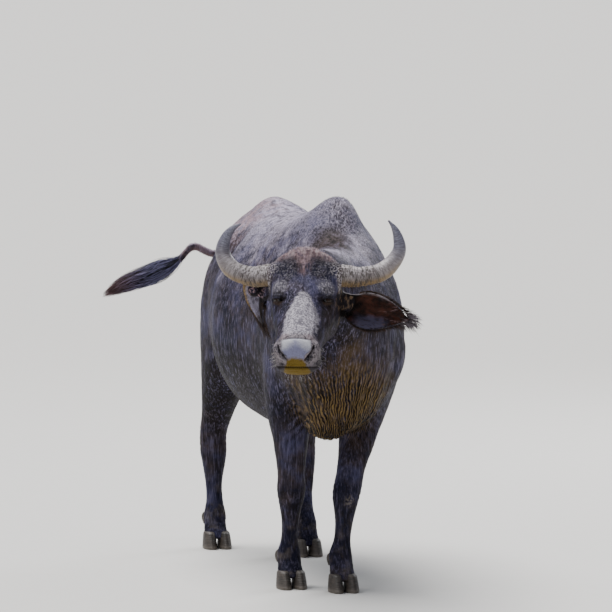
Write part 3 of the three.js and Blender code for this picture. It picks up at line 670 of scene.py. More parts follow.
# Swells and hollows: at, reach, push. Those with a side are repeated on the other side of x = 0.
TRUNK_FORMS = [
    ((215, 70, 985), (190, 190, 300), (16, -4, 0)),  # shoulder blade
    ((215, -60, 800), (130, 120, 150), (16, -22, 0)),  # point of the shoulder
    ((300, 250, 1060), (120, 120, 210), (-10, 0, 0)),  # hollow behind the shoulder
    ((215, 1010, 1200), (120, 110, 100), (16, 0, 12)),  # hook bones
    ((265, 860, 1150), (140, 120, 130), (-26, 0, -8)),  # flank hollow
    ((105, 1410, 1110), (90, 90, 90), (16, 20, 12)),  # pin bones
]
TRUNK_MIDDLE_FORMS = [
    ((6, 1130, 1315), (110, 170, 90), (0, 0, 16)),  # croup
    ((28, 110, 1350), (130, 230, 130), (14, 0, 40)),  # withers
    ((-30, -240, 630), (120, 120, 130), (0, -26, -14)),  # brisket
]
HEAD_FORMS = [
    ((88, 16, 66), (46, 42, 36), (6, -5, 6)),  # brow ridge
    ((88, -38, 48), (42, 46, 40), (-6, 2, -14)),  # hollow before the eye
    ((100, 62, -90), (60, 100, 110), (8, 0, 0)),  # cheek muscle
    ((92, -62, -22), (40, 60, 34), (5, 0, 2)),  # cheekbone
    ((84, -130, -88), (40, 80, 44), (-8, 0, 0)),  # hollow of the jaw
    ((118, 90, 62), (60, 56, 60), (14, 4, 4)),  # horn root
    ((66, -270, 14), (34, 38, 34), (8, -3, 5)),  # nostril wing
    ((60, -266, -52), (42, 46, 28), (6, -2, -2)),  # upper lip
]
HEAD_MIDDLE_FORMS = [
    ((0, 140, 130), (110, 70, 60), (0, 4, 10)),  # poll
    ((0, -120, 60), (44, 150, 40), (0, 0, 5)),  # nose bridge
    ((0, -292, -90), (60, 40, 24), (0, 8, -3)),  # lower lip
]


def sculpted(points, paired, single):
    moved = points.copy()
    for forms, sides in ((paired, (1, -1)), (single, (1,))):
        for at, reach, push in forms:
            for side in sides:
                moved += near(points, mirrored(at, side), reach)[:, None] * mirrored(push, side)
    return moved


def loft(table, steps, around, paired=(), single=()):
    s = through(table, np.linspace(0, 1, steps + 1))
    x, y, z, up, down, w, crown, keel, tilt, turn = (s[:, k, None] for k in range(10))
    angle = (np.arange(around) / around * 2 * np.pi)[None]
    above = np.cos(angle) > 0
    n = np.where(above, crown, keel)
    side = w * power(np.sin(angle), n)
    rise = np.where(above, up, down) * power(np.cos(angle), n)
    tilt, turn = np.radians(tilt), np.radians(turn)
    back, high = rise * np.sin(tilt), rise * np.cos(tilt)
    across = side * np.cos(turn) - back * np.sin(turn)
    along = side * np.sin(turn) + back * np.cos(turn)
    rings = np.stack([x + across, y + along, z + high], -1)
    shape = rings.shape
    return skin_over(sculpted(rings.reshape(-1, 3), paired, single).reshape(shape))


def between(a, b, share):
    return a + (b - a) * share


FETLOCK_HEIGHT = 128


# Rows of a leg: z, x, y, half width, reach to the front, reach to the rear
def foot_rows(foot, width):
    """The fetlock, and the pastern down to the claws."""
    x, y = foot
    return [
        (FETLOCK_HEIGHT, x, y, width, 38, 45),
        (88, x, y - 14, width, 36, 42),
        (50, x, y - 34, width + 3, 42, 42),
        (34, x, y - 42, 38, 30, 30),
    ]


def foreleg(foot, knee, shoulder):
    (kx, ky), (sx, sy) = knee, shoulder
    shank = [between(np.array(knee), np.array(foot), share) for share in (0.2, 0.5, 0.8)]
    return [
        (1080, sx * 0.82, sy + 60, 50, 60, 80),
        (960, sx * 0.95, sy + 30, 82, 130, 150),
        (820, sx, sy + 5, 96, 150, 165),
        (700, between(sx, kx, 0.1), sy + 20, 94, 118, 150),
        (600, between(sx, kx, 0.32), between(sy, ky, 0.2) + 22, 80, 88, 112),
        (500, between(sx, kx, 0.62), between(sy, ky, 0.55) + 8, 63, 66, 74),
        (415, between(sx, kx, 0.86), between(sy, ky, 0.85), 52, 52, 55),
        (345, kx, ky, 53, 50, 44),
        (290, *shank[0], 43, 40, 42),
        (225, *shank[1], 34, 31, 36),
        (170, *shank[2], 35, 32, 38),
    ] + foot_rows(foot, 45)


def hindleg(foot, hock, hip):
    (kx, ky), (sx, sy) = hock, hip
    shank = [between(np.array(hock), np.array(foot), np.array(share)) for share in ((0.15, 0.2), 0.5, 0.8)]
    return [
        (1180, sx * 0.62, sy + 30, 60, 80, 110),
        (1060, sx * 0.86, sy + 20, 100, 165, 195),
        (930, sx, sy - 5, 112, 215, 235),
        (800, sx * 1.06, sy - 30, 110, 215, 240),
        (690, between(sx * 1.08, kx, 0.2), between(sy - 45, ky, 0.12), 98, 165, 195),
        (590, between(sx * 1.08, kx, 0.5), between(sy - 30, ky, 0.4), 79, 108, 130),
        (500, between(sx * 1.05, kx, 0.8), between(sy, ky, 0.75), 60, 70, 92),
        (430, kx, ky, 51, 54, 80),
        (365, kx, ky + 4, 51, 52, 66),
        (305, *shank[0], 43, 42, 48),
        (235, *shank[1], 34, 32, 38),
        (175, *shank[2], 35, 33, 39),
    ] + foot_rows(foot, 44)


LEGS = {
    "foreleg_left": (foreleg, (4, -62), (29, -46), (150, 55)),
    "foreleg_right": (foreleg, (-156, 72), (-148, 62), (-146, 70)),
    "hindleg_left": (hindleg, (98, 985), (116, 1105), (142, 1165)),
    "hindleg_right": (hindleg, (-188, 1286), (-190, 1296), (-142, 1190)),
}


def leg_shell(rows, steps=170, around=64):
    z, x, y, w, front, rear = (through(rows, np.linspace(0, 1, steps + 1))[:, k, None] for k in range(6))
    angle = (np.arange(around) / around * 2 * np.pi)[None]
    depth = np.where(np.cos(angle) > 0, rear, front)
    return skin_over(np.stack([x + w * np.sin(angle), y + depth * np.cos(angle), z + 0 * angle], -1))


EARS = {  # the middle line from root to tip, and the direction across it
    "left": (
        [
            (88, 78, -10), (128, 80, -34), (168, 74, -56), (214, 66, -66),
            (274, 62, -75), (326, 56, -85), (362, 50, -95),
        ],
        (-0.02, -0.62, -0.78),
    ),
    "right": (
        [
            (-92, 76, -8), (-130, 92, 0), (-170, 108, -12),
            (-190, 118, -48), (-184, 112, -102), (-158, 88, -160),
        ],
        (-0.62, 0.72, 0.3),
    ),
}
EAR_SIZES = [  # half width, depth of the cup, wall, and -1 for a round stalk to 1 for an open cup
    (24, 26, 14, -1),
    (30, 32, 12, -0.5),
    (48, 38, 11, 0.5),
    (66, 36, 10, 1),
    (71, 30, 9.5, 1),
    (65, 24, 9, 1),
    (50, 17, 9, 1),
    (30, 9, 8, 1),
    (8, 3, 6, 0.6),
]


class Ear:
    """An ear's own directions and surfaces, in the head's frame."""

    def __init__(self, side):
        path, across = EARS[side]
        self.curve = Curve(path)
        self.across = np.array(across)

    def frame(self, shares):
        along = self.curve.along(shares)
        wide = unit(self.across - along * (along @ self.across)[:, None])
        return self.curve.at(shares), along, wide, np.cross(along, wide)

    def surface(self, shares, s, back):
        """Points at shares of the ear's length and s, from -1 to 1, across its back or its hollow."""
        centre, _, wide, deep = self.frame(shares)
        width, cup, wall, opened = (through(EAR_SIZES, shares)[:, k] for k in range(4))
        inner = np.where(opened > 0, (cup - wall / 2) * opened, cup * opened)
        depth = cup * (1 - s * s) + wall / 2 if back else inner * (1 - s * s) - wall / 2
        reach = s * (1 if back else 0.96) * width
        return centre + wide * reach[:, None] + deep * depth[:, None]

    def shell(self, steps=90, rows=18):
        shares = np.linspace(0, 1, steps + 1)
        across = np.linspace(-1, 1, rows + 1)
        back = [self.surface(shares, np.full(steps + 1, s), True) for s in across]
        front = [self.surface(shares, np.full(steps + 1, s), False) for s in across[::-1]]
        points, faces = skin_over(np.stack(back + front, 1))
        return on_head(points), faces


TAIL_PATH = [
    (0, 1375, 1150),
    (-28, 1452, 1138),
    (-98, 1502, 1094),
    (-152, 1516, 1094),
    (-198, 1520, 1115),
    (-222, 1520, 1124),
    (-248, 1520, 1104),
    (-283, 1520, 1068),
    (-345, 1520, 1038),
    (-410, 1520, 1009),
]
TAIL_RADII = [38, 34, 25, 20, 18, 17, 16, 15, 12, 6]
UDDER_CENTRE = (14, 1050, 566)
UDDER_RADII = (70, 110, 52)


TEAT_PLACES = list(product((-24, 24), (1005, 1075)))  # beside the udder's middle, and y
TEAT_LEVELS = [(1, 540), (1.1, 518), (1.15, 496)]  # share of the place beside the middle, and height
TEAT_RADII = [13, 11, 10, 6]


def udder_shells():
    shells = [ellipsoid(UDDER_CENTRE, UDDER_RADII)]
    for x, y in TEAT_PLACES:
        path = [(UDDER_CENTRE[0] + x * share, y, z) for share, z in TEAT_LEVELS]
        shells.append(rod(path, TEAT_RADII, 12, 20))
    return shells


# The skin that grows up over a horn's root
HORN_SLEEVE = [(70, 82, 66), (84, 84, 66), (106, 89, 64), (130, 94, 60)]
HORN_SLEEVE_RADII = [53, 50, 44, 36.5]

HEAD_SWELLS = [  # the knob where the right ear folds back, and the poll's broad dome
    ((-178, 106, -12), (34, 28, 28)),
    ((0, 128, 40), (130, 52, 101)),
]


LID_RADII = (28, 28, 28)
BRISKET_CENTRE = (-58, -110, 620)
BRISKET_RADII = (86, 150, 76)


def head_shells():
    """The skull, with its eye sockets, horn sleeves and swells."""
    shells = [loft(HEAD, 150, 110, HEAD_FORMS, HEAD_MIDDLE_FORMS)]
    for side in SIDES.values():
        shells.append(ellipsoid(mirrored(EYE_PLACE, side), LID_RADII))
        shells.append(rod(mirrored(HORN_SLEEVE, side), HORN_SLEEVE_RADII, 30, 40))
    shells += [ellipsoid(middle, radii) for middle, radii in HEAD_SWELLS]
    return [(on_head(points), faces) for points, faces in shells]


def flesh_shells():
    """Every part of the flesh as an overlapping closed shell."""
    shells = [loft(TRUNK, 170, 120, TRUNK_FORMS, TRUNK_MIDDLE_FORMS)]
    shells += [leg_shell(make(foot, knee, top)) for make, foot, knee, top in LEGS.values()]
    shells += head_shells()
    shells += [Ear(side).shell() for side in EARS]
    shells.append(rod(TAIL_PATH, TAIL_RADII, 110, 28))
    shells.append(ellipsoid(BRISKET_CENTRE, BRISKET_RADII))
    return shells + udder_shells()


# The skin


CHEST = (-10, -190, 660)
NOSTRIL_PATH = [(63, -272, 34), (60, -284, 22), (52, -297, 8), (42, -306, -3), (33, -311, -8)]
NOSTRIL_RADII = [2, 3.2, 5, 7, 4]
MOUTH_SHARES = (0.66, 0.985)
MOUTH_ANGLES = (119, 107)
SLIT_HALF = np.array([24.0, 6.0])  # half the length and half the opening of the slit between the lids


def head_surface(share, degrees):
    """A point on the head's own loft."""
    s = through(HEAD, share)[0]
    angle = math.radians(degrees)
    above = math.cos(angle) > 0
    n = s[6] if above else s[7]
    tall = s[3] if above else s[4]
    point = np.array([[s[5] * power(math.sin(angle), n), s[1], s[2] + tall * power(math.cos(angle), n)]])
    return sculpted(point, HEAD_FORMS, HEAD_MIDDLE_FORMS)[0]


def mouth_curve():
    half = [head_surface(between(*MOUTH_SHARES, k / 7), between(*MOUTH_ANGLES, k / 7)) for k in range(8)]
    front = np.array([0, half[-1][1] - 4, half[-1][2] + 2])
    return Curve(half + [front] + [mirrored(p, -1) for p in half[::-1]])


def slit_frame(side):
    """The middle of the slit between the lids and its own axes, in the head's frame."""
    centre = mirrored(EYE_PLACE + (4, -19, 11), side)
    return centre, turned("X", -34) @ turned("Z", side * -14)


# The folds round the lids: distance from the slit, width and height of each
UPPER_FOLDS = [(12.5, 2.0, -4.2), (17.5, 3.6, 2), (23, 2.1, -3.0), (29, 4, 2.6)]
LOWER_FOLDS = [(11.5, 1.6, -2.8), (15.5, 2.8, 2.4), (20, 1.9, -2.8), (24.5, 3, 2.2), (29.5, 2.2, -2.2)]


def ridges(value, rows):
    return sum(height * bump(value, middle, width) for middle, width, height in rows)


def eye_forms(local, moved, dark):
    """Opens the lids over each eyeball and folds the skin round them."""
    for side in SIDES.values():
        eye = mirrored(EYE_PLACE, side)
        far = np.linalg.norm(local - eye, axis=1)
        centre, axes = slit_frame(side)
        q = (local - centre) @ axes
        facing = (q[:, 1] < 26) & (far < 62)
        curve = 3.0 * (1 - (q[:, 0] / SLIT_HALF[0]) ** 2)
        opening = np.hypot(q[:, 0] / SLIT_HALF[0], (q[:, 2] - curve * 0.5) / SLIT_HALF[1])
        radius = 20 + 6.2 * step(0.82, 1.04, opening) + 2.4 * step(1.0, 1.6, opening)
        target = eye + (local - eye) * (radius / np.maximum(far, 1))[:, None]
        share = np.where(facing, step(2.3, 1.5, opening), 0)[:, None]
        # Painted shade in the slit between the lids.
        dark[:] = np.maximum(dark, np.where(facing, step(1.0, 0.86, opening), 0))
        moved[:] = moved + share * (target - moved)
        ring = np.hypot(q[:, 0] * 0.5, q[:, 2] - curve)
        upper = q[:, 2] > curve
        ends = 0.7 * step(40, 18, np.abs(q[:, 0]))
        folds = np.where(upper, ridges(ring, UPPER_FOLDS), ridges(ring, LOWER_FOLDS))
        outward = unit(local - eye)
        moved += outward * (np.where(facing, folds * ends, 0) * (1 - share[:, 0]))[:, None]


def nostril_forms(local, moved, dark):
    for side in SIDES.values():
        curve = Curve(mirrored(NOSTRIL_PATH, side))
        close = np.linalg.norm(local - mirrored((52, -297, 8), side), axis=1) < 75
        distance, share = curve.nearest(local[close])
        radius = through(NOSTRIL_RADII, share)
        inside = step(1.25, 0.55, distance / radius)
        inward = unit(mirrored((-0.35, 0.9, 0.12), side))
        depth = 30 * inside * step(0.0, 0.35, share)
        rim = 2.2 * bump(distance, radius + 5, 3.5)
        outward = unit(mirrored((0.8, -0.55, 0.2), side))
        moved[close] += depth[:, None] * inward + rim[:, None] * outward
        # Painted shade inside the nostril.
        dark[close] = np.maximum(dark[close], step(0.25, 0.7, inside))


def mouth_forms(local, normal, moved, dark):
    close = (local[:, 1] < -120) & (local[:, 2] < 10)
    distance, share = mouth_curve().nearest(local[close])
    ends = step(0.0, 0.06, share) * step(1.0, 0.94, share)
    lift = -7.5 * bump(distance, 0, 2.6) * ends
    lift += 2.4 * bump(distance, 9, 4.5) * ends
    moved[close] += lift[:, None] * normal[close]
    # Painted shade along the mouth line.
    dark[close] = np.maximum(dark[close], bump(distance, 0, 4.2) * ends)


def on_ears(local, normal):
    """Where points lie on an ear: 1 in its hollow to -1 on its back, the share of its length, and across."""
    hollow, along, wide = np.zeros((3, len(local)))
    for side in EARS:
        ear = Ear(side)
        near_ear = np.flatnonzero(np.linalg.norm(local - ear.curve.at(0.55), axis=1) < 210)
        distance, share = ear.curve.nearest(local[near_ear])
        near_ear, share = near_ear[distance < 90], share[distance < 90]
        centre, _, across, deep = ear.frame(share)
        away = local[near_ear] - centre
        width, cup, wall, _ = through(EAR_SIZES, share).T
        s = (away * across).sum(1) / width
        depth = (away * deep).sum(1) - cup * (1 - np.clip(s, -1, 1) ** 2)
        blade = (np.abs(depth) < wall * 1.5 + 4) & (np.abs(s) < 1 + 9 / width)
        blade &= (share > 0.1) & (share < 0.999)
        chosen = near_ear[blade]
        facing = (normal[chosen] * deep[blade]).sum(1)
        hollow[chosen] = np.clip(-3 * facing, -1, 1)
        along[chosen] = share[blade]
        wide[chosen] = s[blade]
    return hollow, along, wide


def face_relief(local):
    """Fine relief of the face along its normal."""
    x, y, z = np.abs(local[:, 0]), local[:, 1], local[:, 2]
    top = step(-20, 30, z)
    forehead = top * step(0, 40, y) * step(190, 130, y) * step(120, 70, x)
    relief = forehead * (1.6 * noise(local, 14, 3) + 1.6 * noise(local, 30, 4))
    relief -= 1.2 * top * bump(x, 0, 14) * step(20, 50, y) * step(120, 80, y)
    relief += 4 * near(np.stack([x, y, z], 1), (62, 34, 82), (36, 32, 34))
    bridge = step(40, 0, y) * step(-262, -230, y) * top
    edge = np.interp(y, *zip(*BALD_EDGE))
    relief += bridge * (2.2 * step(7, -3, x - edge) + 0.5 * noise(local, 8, 5))
    relief += bridge * -2.2 * bump(x, edge + 9, 5)
    pad_top = bump(y, -262 + 0.0012 * x**2, 5) * step(46, 30, x) * top
    relief += -2.6 * pad_top
    cheek = step(60, 86, x) * step(30, -30, z) * step(-230, -180, y)
    streaks = np.sin((y * 0.9 + 0.35 * z + 10 * noise(local, 60, 6)) / 6.5)
    streaks = 1.1 * streaks * step(-0.3, 0.6, noise(local, 70, 7))
    relief += cheek * (streaks + 2.2 * noise(local, 38, 8))
    vein = bump(y + 0.55 * z, -92 + 7 * np.sin(z / 19), 4.0)
    vein = vein * step(-75, -45, z) * step(12, -12, z)
    relief += 2.4 * vein * step(66, 80, x)
    chin = step(-250, -275, y) * step(-60, -76, z)
    relief += chin * 0.8 * noise(local, 7, 9)
    muzzle_side = step(-225, -250, y) * step(58, 70, x)
    relief += muzzle_side * 0.9 * noise(local, 9, 10)
    return relief


def body_relief(p):
    """Folds, wrinkles and muscle lines of the body along its normal, and the share of it that is wrinkle."""
    x, y, z = p.T
    warp = 16 * noise(p, 90, 20) + 5 * noise(p, 32, 21)
    relief = 2.6 * noise(p, 95, 22) + 1.1 * noise(p, 34, 23)
    front = step(120, -60, y)
    chest = near(p, CHEST, (290, 260, 260)) ** 0.5 * front
    turn = np.arctan2(x + 12 + warp * 0.35, z - 330)
    broad = np.sin(turn * 350 / 5.6 + 1.6 * noise(p, 60, 24))
    fine = np.sin(turn * 350 / 2.5 + 2.0 * noise(p, 26, 25))
    wrinkles = chest * (2.4 * broad + 2.6 * fine * step(-0.4, 0.4, noise(p, 48, 26) + 0.3))
    armpit = near(p, (130, -80, 600), (110, 130, 130)) + near(p, (-150, -30, 600), (110, 130, 130))
    slanted = np.sin((z * 0.75 + np.abs(x) * 0.75 + warp * 0.6) / 4.2)
    wrinkles += 2.8 * armpit * slanted
    neck = near(p, (70, -230, 930), (170, 260, 330)) + near(p, (-190, -190, 900), (130, 240, 260))
    folds = np.sin((x * 0.75 + y * 0.65 + warp * 1.6) / 9.5)
    wrinkles += 3.0 * neck * folds * step(-0.5, 0.5, noise(p, 130, 27))
    side = step(90, 200, np.abs(x))
    ribs = near(p, (0, 520, 870), (400, 400, 330)) * side
    relief += 2.4 * ribs * np.sin((y + 0.28 * z) / 10.5)
    flank = near(p, (0, 900, 760), (330, 190, 230)) * side
    wrinkles += 2.2 * flank * np.sin((y * 0.8 - 0.6 * z + warp) / 9)
    shoulder = near(p, (0, 60, 860), (330, 210, 330)) * side
    relief -= 4.5 * shoulder * bump(y - 0.32 * (z - 860) - 12 * noise(p, 120, 28), 30, 14)
    relief -= 3.5 * shoulder * bump(y + 0.5 * (z - 800), -70, 12)
    for make, foot, knee, _ in LEGS.values():
        joint = 345 if make is foreleg else 400
        at = near(p, (*knee, joint), (95, 95, 75))
        relief += at * (1.3 * np.sin((z + 3 * noise(p, 40, 29)) / 3.4) + 2.0 * noise(p, 30, 30))
        cannon = near(p, (*foot, 215), (75, 85, 110))
        relief -= 3.0 * cannon * bump(y - foot[1], 12, 7)
        pastern = near(p, (foot[0], foot[1] - 5, 96), (80, 90, 50))
        relief += 1.2 * pastern * np.sin(z / 2.8)
    return relief + wrinkles, wrinkles


JUNCTIONS = [  # where parts of the flesh flow into each other: centre, reach, rounds
    ((150, 40, 720), (150, 260, 240), 60),
    ((-150, 60, 720), (150, 260, 240), 60),
    ((160, 1120, 760), (190, 330, 260), 70),
    ((-170, 1180, 760), (190, 330, 260), 70),
    ((-150, -390, 1050), (210, 130, 250), 24),
    ((0, 1400, 1130), (110, 110, 110), 30),
    ((14, 1050, 590), (120, 160, 60), 30),
]


def blended(points, edges):
    """The junctions of the limbs, the neck and the tail, relaxed until they flow."""
    for centre, reach, rounds in JUNCTIONS:
        weight = near(points, centre, reach) ** 0.5 * 0.8
        chosen = weight > 0.01
        inside = chosen[edges].any(1)
        kept = np.flatnonzero(np.bincount(edges[inside].ravel(), minlength=len(points)) > 0)
        renumber = np.full(len(points), -1)
        renumber[kept] = np.arange(len(kept))
        part = relaxed(points[kept], renumber[edges[inside]], weight[kept], rounds)
        points[kept] = part
    return points


def head_zone(points):
    """True on the head in front of the neck."""
    local = in_head(points)
    return (local[:, 1] < 150) & (local[:, 2] > -230) & (np.abs(local[:, 0]) < 420)


FACE_HALF = 150  # how far the face reaches to each side, without the ears
FINE_SPOTS = [((84, -24, 38), 48), ((50, -295, 8), 36)]  # the eye and the nostril, and the reach round each


def fine_spots(points):
    """True round eyes, nostrils and mouth, where the skin needs its smallest faces."""
    local = in_head(points)
    fine = (mouth_curve().nearest(local)[0] < 12) & (local[:, 1] < -100)
    for side in SIDES.values():
        for centre, reach in FINE_SPOTS:
            fine |= np.linalg.norm(local - mirrored(centre, side), axis=1) < reach
    return fine


def one_skin():
    """The flesh as one mesh, relaxed where its parts meet and finer on head and chest."""
    skin = mesh_object("skin", *joined(flesh_shells()))
    mesh = with_modifier(skin, "REMESH", mode="VOXEL", voxel_size=sizes().skin_grain)
    points, _, edges = arrays_of(mesh)
    points = relaxed(points, edges, 0.6, 8)
    put_back(mesh, blended(points, edges))
    points = arrays_of(mesh)[0]
    chest = near(points, CHEST, (290, 250, 250)) > 0.08
    refine(mesh, (head_zone(points) & (np.abs(in_head(points)[:, 0]) < FACE_HALF)) | chest)
    points, _, edges = arrays_of(mesh)
    fine = fine_spots(points)
    put_back(mesh, relaxed(points, edges, np.where(head_zone(points), 0.5, 0.3), 2))
    refine(mesh, fine)
    return skin


def detail(mesh):
    """Adds relief, lids, nostrils, mouth and ear ridges, and the numbers that the material reads."""
    points, normals, _ = arrays_of(mesh)
    local, normal = in_head(points), normals @ HEAD_AXES
    on_face = head_zone(points) & (np.abs(local[:, 0]) < FACE_HALF)
    fade = step(150, 90, local[:, 1])
    relief, wrinkles = body_relief(points)
    shown = np.where(on_face, 1 - fade, 1.0)
    moved = points + normals * (shown * (relief - sizes().coat_depth / MM))[:, None]
    face = in_head(moved)
    face += normal * (np.where(on_face, fade, 0) * face_relief(local))[:, None]
    pulled, dark = local.copy(), np.zeros(len(local))
    eye_forms(local, pulled, dark)
    nostril_forms(local, pulled, dark)
    mouth_forms(local, normal, pulled, dark)
    hollow, ear_along, ear_wide = on_ears(local, normal)
    folds = np.sin(ear_wide * 8.5 + ear_along * 5) * step(0.15, 0.3, ear_along)
    folds = folds * step(0.95, 0.75, ear_along) * step(1, 0.8, np.abs(ear_wide))
    moved += normals * (2.6 * folds * np.clip(hollow, 0, 1))[:, None]
    face += np.where(on_face[:, None], pulled - local, 0)
    put_back(mesh, np.where(on_face[:, None], on_head(face), moved))
    numbers_on(mesh, "folds", shown * wrinkles)
    # Where the material paints shade: nostrils, the mouth line and the slits between the lids.
    numbers_on(mesh, "hollow", np.where(on_face, dark, 0))
    numbers_on(mesh, "ear", hollow)
    numbers_on(mesh, "ear_along", ear_along)
    numbers_on(mesh, "ear_wide", ear_wide)


FLESH_NODES = ["head", "neck", "torso", "tail", "ear_left", "ear_right", *LEGS]


class BUFFALO_OT_skin(bpy.types.Operator):
    """Build the one skin that covers head, ears, neck, trunk, legs and tail"""

    bl_idname = "buffalo.skin"
    bl_label = "Skin"

    def execute(self, context):
        skin = one_skin()
        detail(skin.data)
        slim(skin, sizes().skin_triangles)
        skin.data.materials.clear()
        skin.data.materials.append(skin_material())
        skin.data.shade_smooth()
        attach(skin, BODY)
        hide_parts(*FLESH_NODES)
        return {"FINISHED"}


def slim(made, triangles):
    """Fewer triangles where the surface is flat."""
    mesh = made.data
    count = sum(len(p.vertices) - 2 for p in mesh.polygons)
    if count > triangles:
        with_modifier(made, "DECIMATE", decimate_type="COLLAPSE", ratio=triangles / count)


def chest_folds(s):
    """Hanging folds of the chest, with painted shade between them and under the chest, and paler dust on
    their ridges. Returns their height.
    """
    c = colours()
    chest = s.near(s.place, (-20, -190, 655), (250, 300, 240), 0.45)
    wander = (s.noise(s.place, 45, 2) - 0.5) * 34
    turn = s.math("ARCTAN2", s.x + 20 + wander * 0.7, s.z - 330)
    folded = s.math("SINE", turn * 240 + s.noise(s.place, 22, 2) * 7)
    depth = chest * s.step(s.noise(s.place, 60, 2), 0.3, 0.5)
    # Painted shade under the chest and between its folds.
    s.paint(chest * s.step(s.up, -0.3, -0.75) * 0.8, c.hollow)
    s.paint(s.step(folded, -0.1, -0.8) * depth * 0.9, c.hollow)
    s.paint(s.step(folded, 0.1, 0.9) * depth * 0.6, c.dust_pale)
    return folded * depth * 1.7


CURVE_START, CURVE_LENGTH, CURVE_HEIGHT = -300, 400, 100


def bald_width(s):
    """Half the width of the bald nose bridge, read along the head."""
    width = s.node("ShaderNodeFloatCurve", inputs={"Value": (s.head_y - CURVE_START) / CURVE_LENGTH})
    mapping = width.socket.node.mapping
    points = mapping.curves[0].points
    for index, (y, half) in enumerate(BALD_EDGE):
        place = ((y - CURVE_START) / CURVE_LENGTH, half / CURVE_HEIGHT)
        if index < 2:
            points[index].location = place
        else:
            points.new(*place)
    mapping.update()
    return width * CURVE_HEIGHT


def nose_bridge(s, lumps, stipple, on_head):
    """Bald, blotched skin down the front of the face. Returns where it lies."""
    c = colours()
    y = s.head_y
    ragged = (lumps - 0.5) * 44 + (stipple - 0.5) * 34
    shifted = s.math("ABSOLUTE", s.head_x - 9 * s.step(y, -262, -160))
    bald = s.step(shifted - bald_width(s) + ragged, 7, -5) * s.step(s.head_z, -12, 26)
    bald = bald * s.step(y + ragged, -22, -50) * s.step(y, -268, -252) * on_head
    blotch = s.step(s.noise(s.head_place, 15, 3), 0.53, 0.62)
    stippled = s.step(stipple, 0.4, 0.6) * 0.8 + (lumps - 0.5) * 0.9 + 0.06
    grey = s.mix(blotch * 0.75, s.mix(stippled, c.bald_dark, c.bald_grey), c.bald_dark)
    grey = s.mix(s.step(y, -225, -262) * s.step(shifted, 16, 44) * 0.7, grey, c.red_hide_and_glint)
    s.paint(bald * 0.92, grey)
    return bald


def horn_roots_and_lids(s, lumps, specks, on_head):
    """The horny sleeve round each horn's root, painted shade in the eye sockets, and the lids of the eyes."""
    c = colours()
    across, y = s.head_across, s.head_y
    sleeve = s.step(across, 100, 124) * s.step(y, 30, 50) * s.step(y, 150, 130)
    sleeve = sleeve * s.step(s.head_z, 10, 24) * s.step(across + (lumps - 0.5) * 30, 108, 122)
    s.paint(sleeve * 0.85, s.mix(specks, c.horn_brown, c.horn_grey))
    # Painted shade in the eye sockets.
    socket = s.near(s.head_mirrored, (76, -36, 40), (46, 56, 42), 0.35)
    s.paint(socket * 0.5 * on_head, c.black_hide_and_shade)
    lids = s.near(s.head_mirrored, (84, -30, 35), (36, 24, 12), 0.4)
    s.paint(lids * 0.7, c.lid)


def muzzle_skin(s, lumps, stipple, on_head):
    """The nose pad with painted highlight on its wet top, the lower lip, the muzzle's sides, and painted
    shade in nostrils, mouth line and lid slits. Returns masks of pad, ochre, sides and cracks.
    """
    c = colours()
    across, y, z = s.head_across, s.head_y, s.head_z
    pad_edge = 51 - s.step(z, 24, 2) * 20 + s.step(z, -6, -64) * 15
    pad = s.step(across - pad_edge + (lumps - 0.5) * 16, 5, -5)
    pad = pad * s.step(y, -256, -264) * s.step(z, -84, -78)
    cracks = s.cells(s.head_place, 6.5, "DISTANCE_TO_EDGE")
    low = s.step(z + (lumps - 0.5) * 34 + across * 0.2, 8, -8)
    # Painted highlight on the wet top of the pad.
    lit = s.step(z + across * 0.5 + (lumps - 0.5) * 26, 32, 58)
    wet = s.mix(lit * 0.85, c.pad_grey, c.pad_white)
    wet = s.mix(s.step(cracks, 0.1, 0.0) * 0.3, wet, c.pad_dark)
    ochre = s.mix(s.step(cracks, 0.0, 0.12), c.pad_crease, c.pad_ochre)
    s.paint(pad * on_head, s.mix(low, wet, ochre))
    lip_place = s.joined(s.head_x + (lumps - 0.5) * 18, y, z + (lumps - 0.5) * 9)
    lip = s.near(lip_place, (0, -292, -88), (56, 44, 19), 0.5)
    corners = s.near(lip_place, (0, -280, -79), (96, 60, 8), 0.4) * 0.6
    s.paint((lip * 0.9 + corners).clamped(), ochre)
    sides = s.step(y, -226, -258) * (1 - pad) * (1 - lip) * on_head
    freckled = s.step(lumps * 0.5 + stipple * 0.6, 0.44, 0.64) * s.step(z, -70, 0)
    s.paint(sides * 0.85, s.mix(freckled, c.muzzle_dark, c.muzzle_pale))
    # Painted shade in the nostrils, along the mouth line and in the slits between the lids.
    s.paint(s.attribute("hollow"), c.hollow)
    return pad, low, sides, cracks


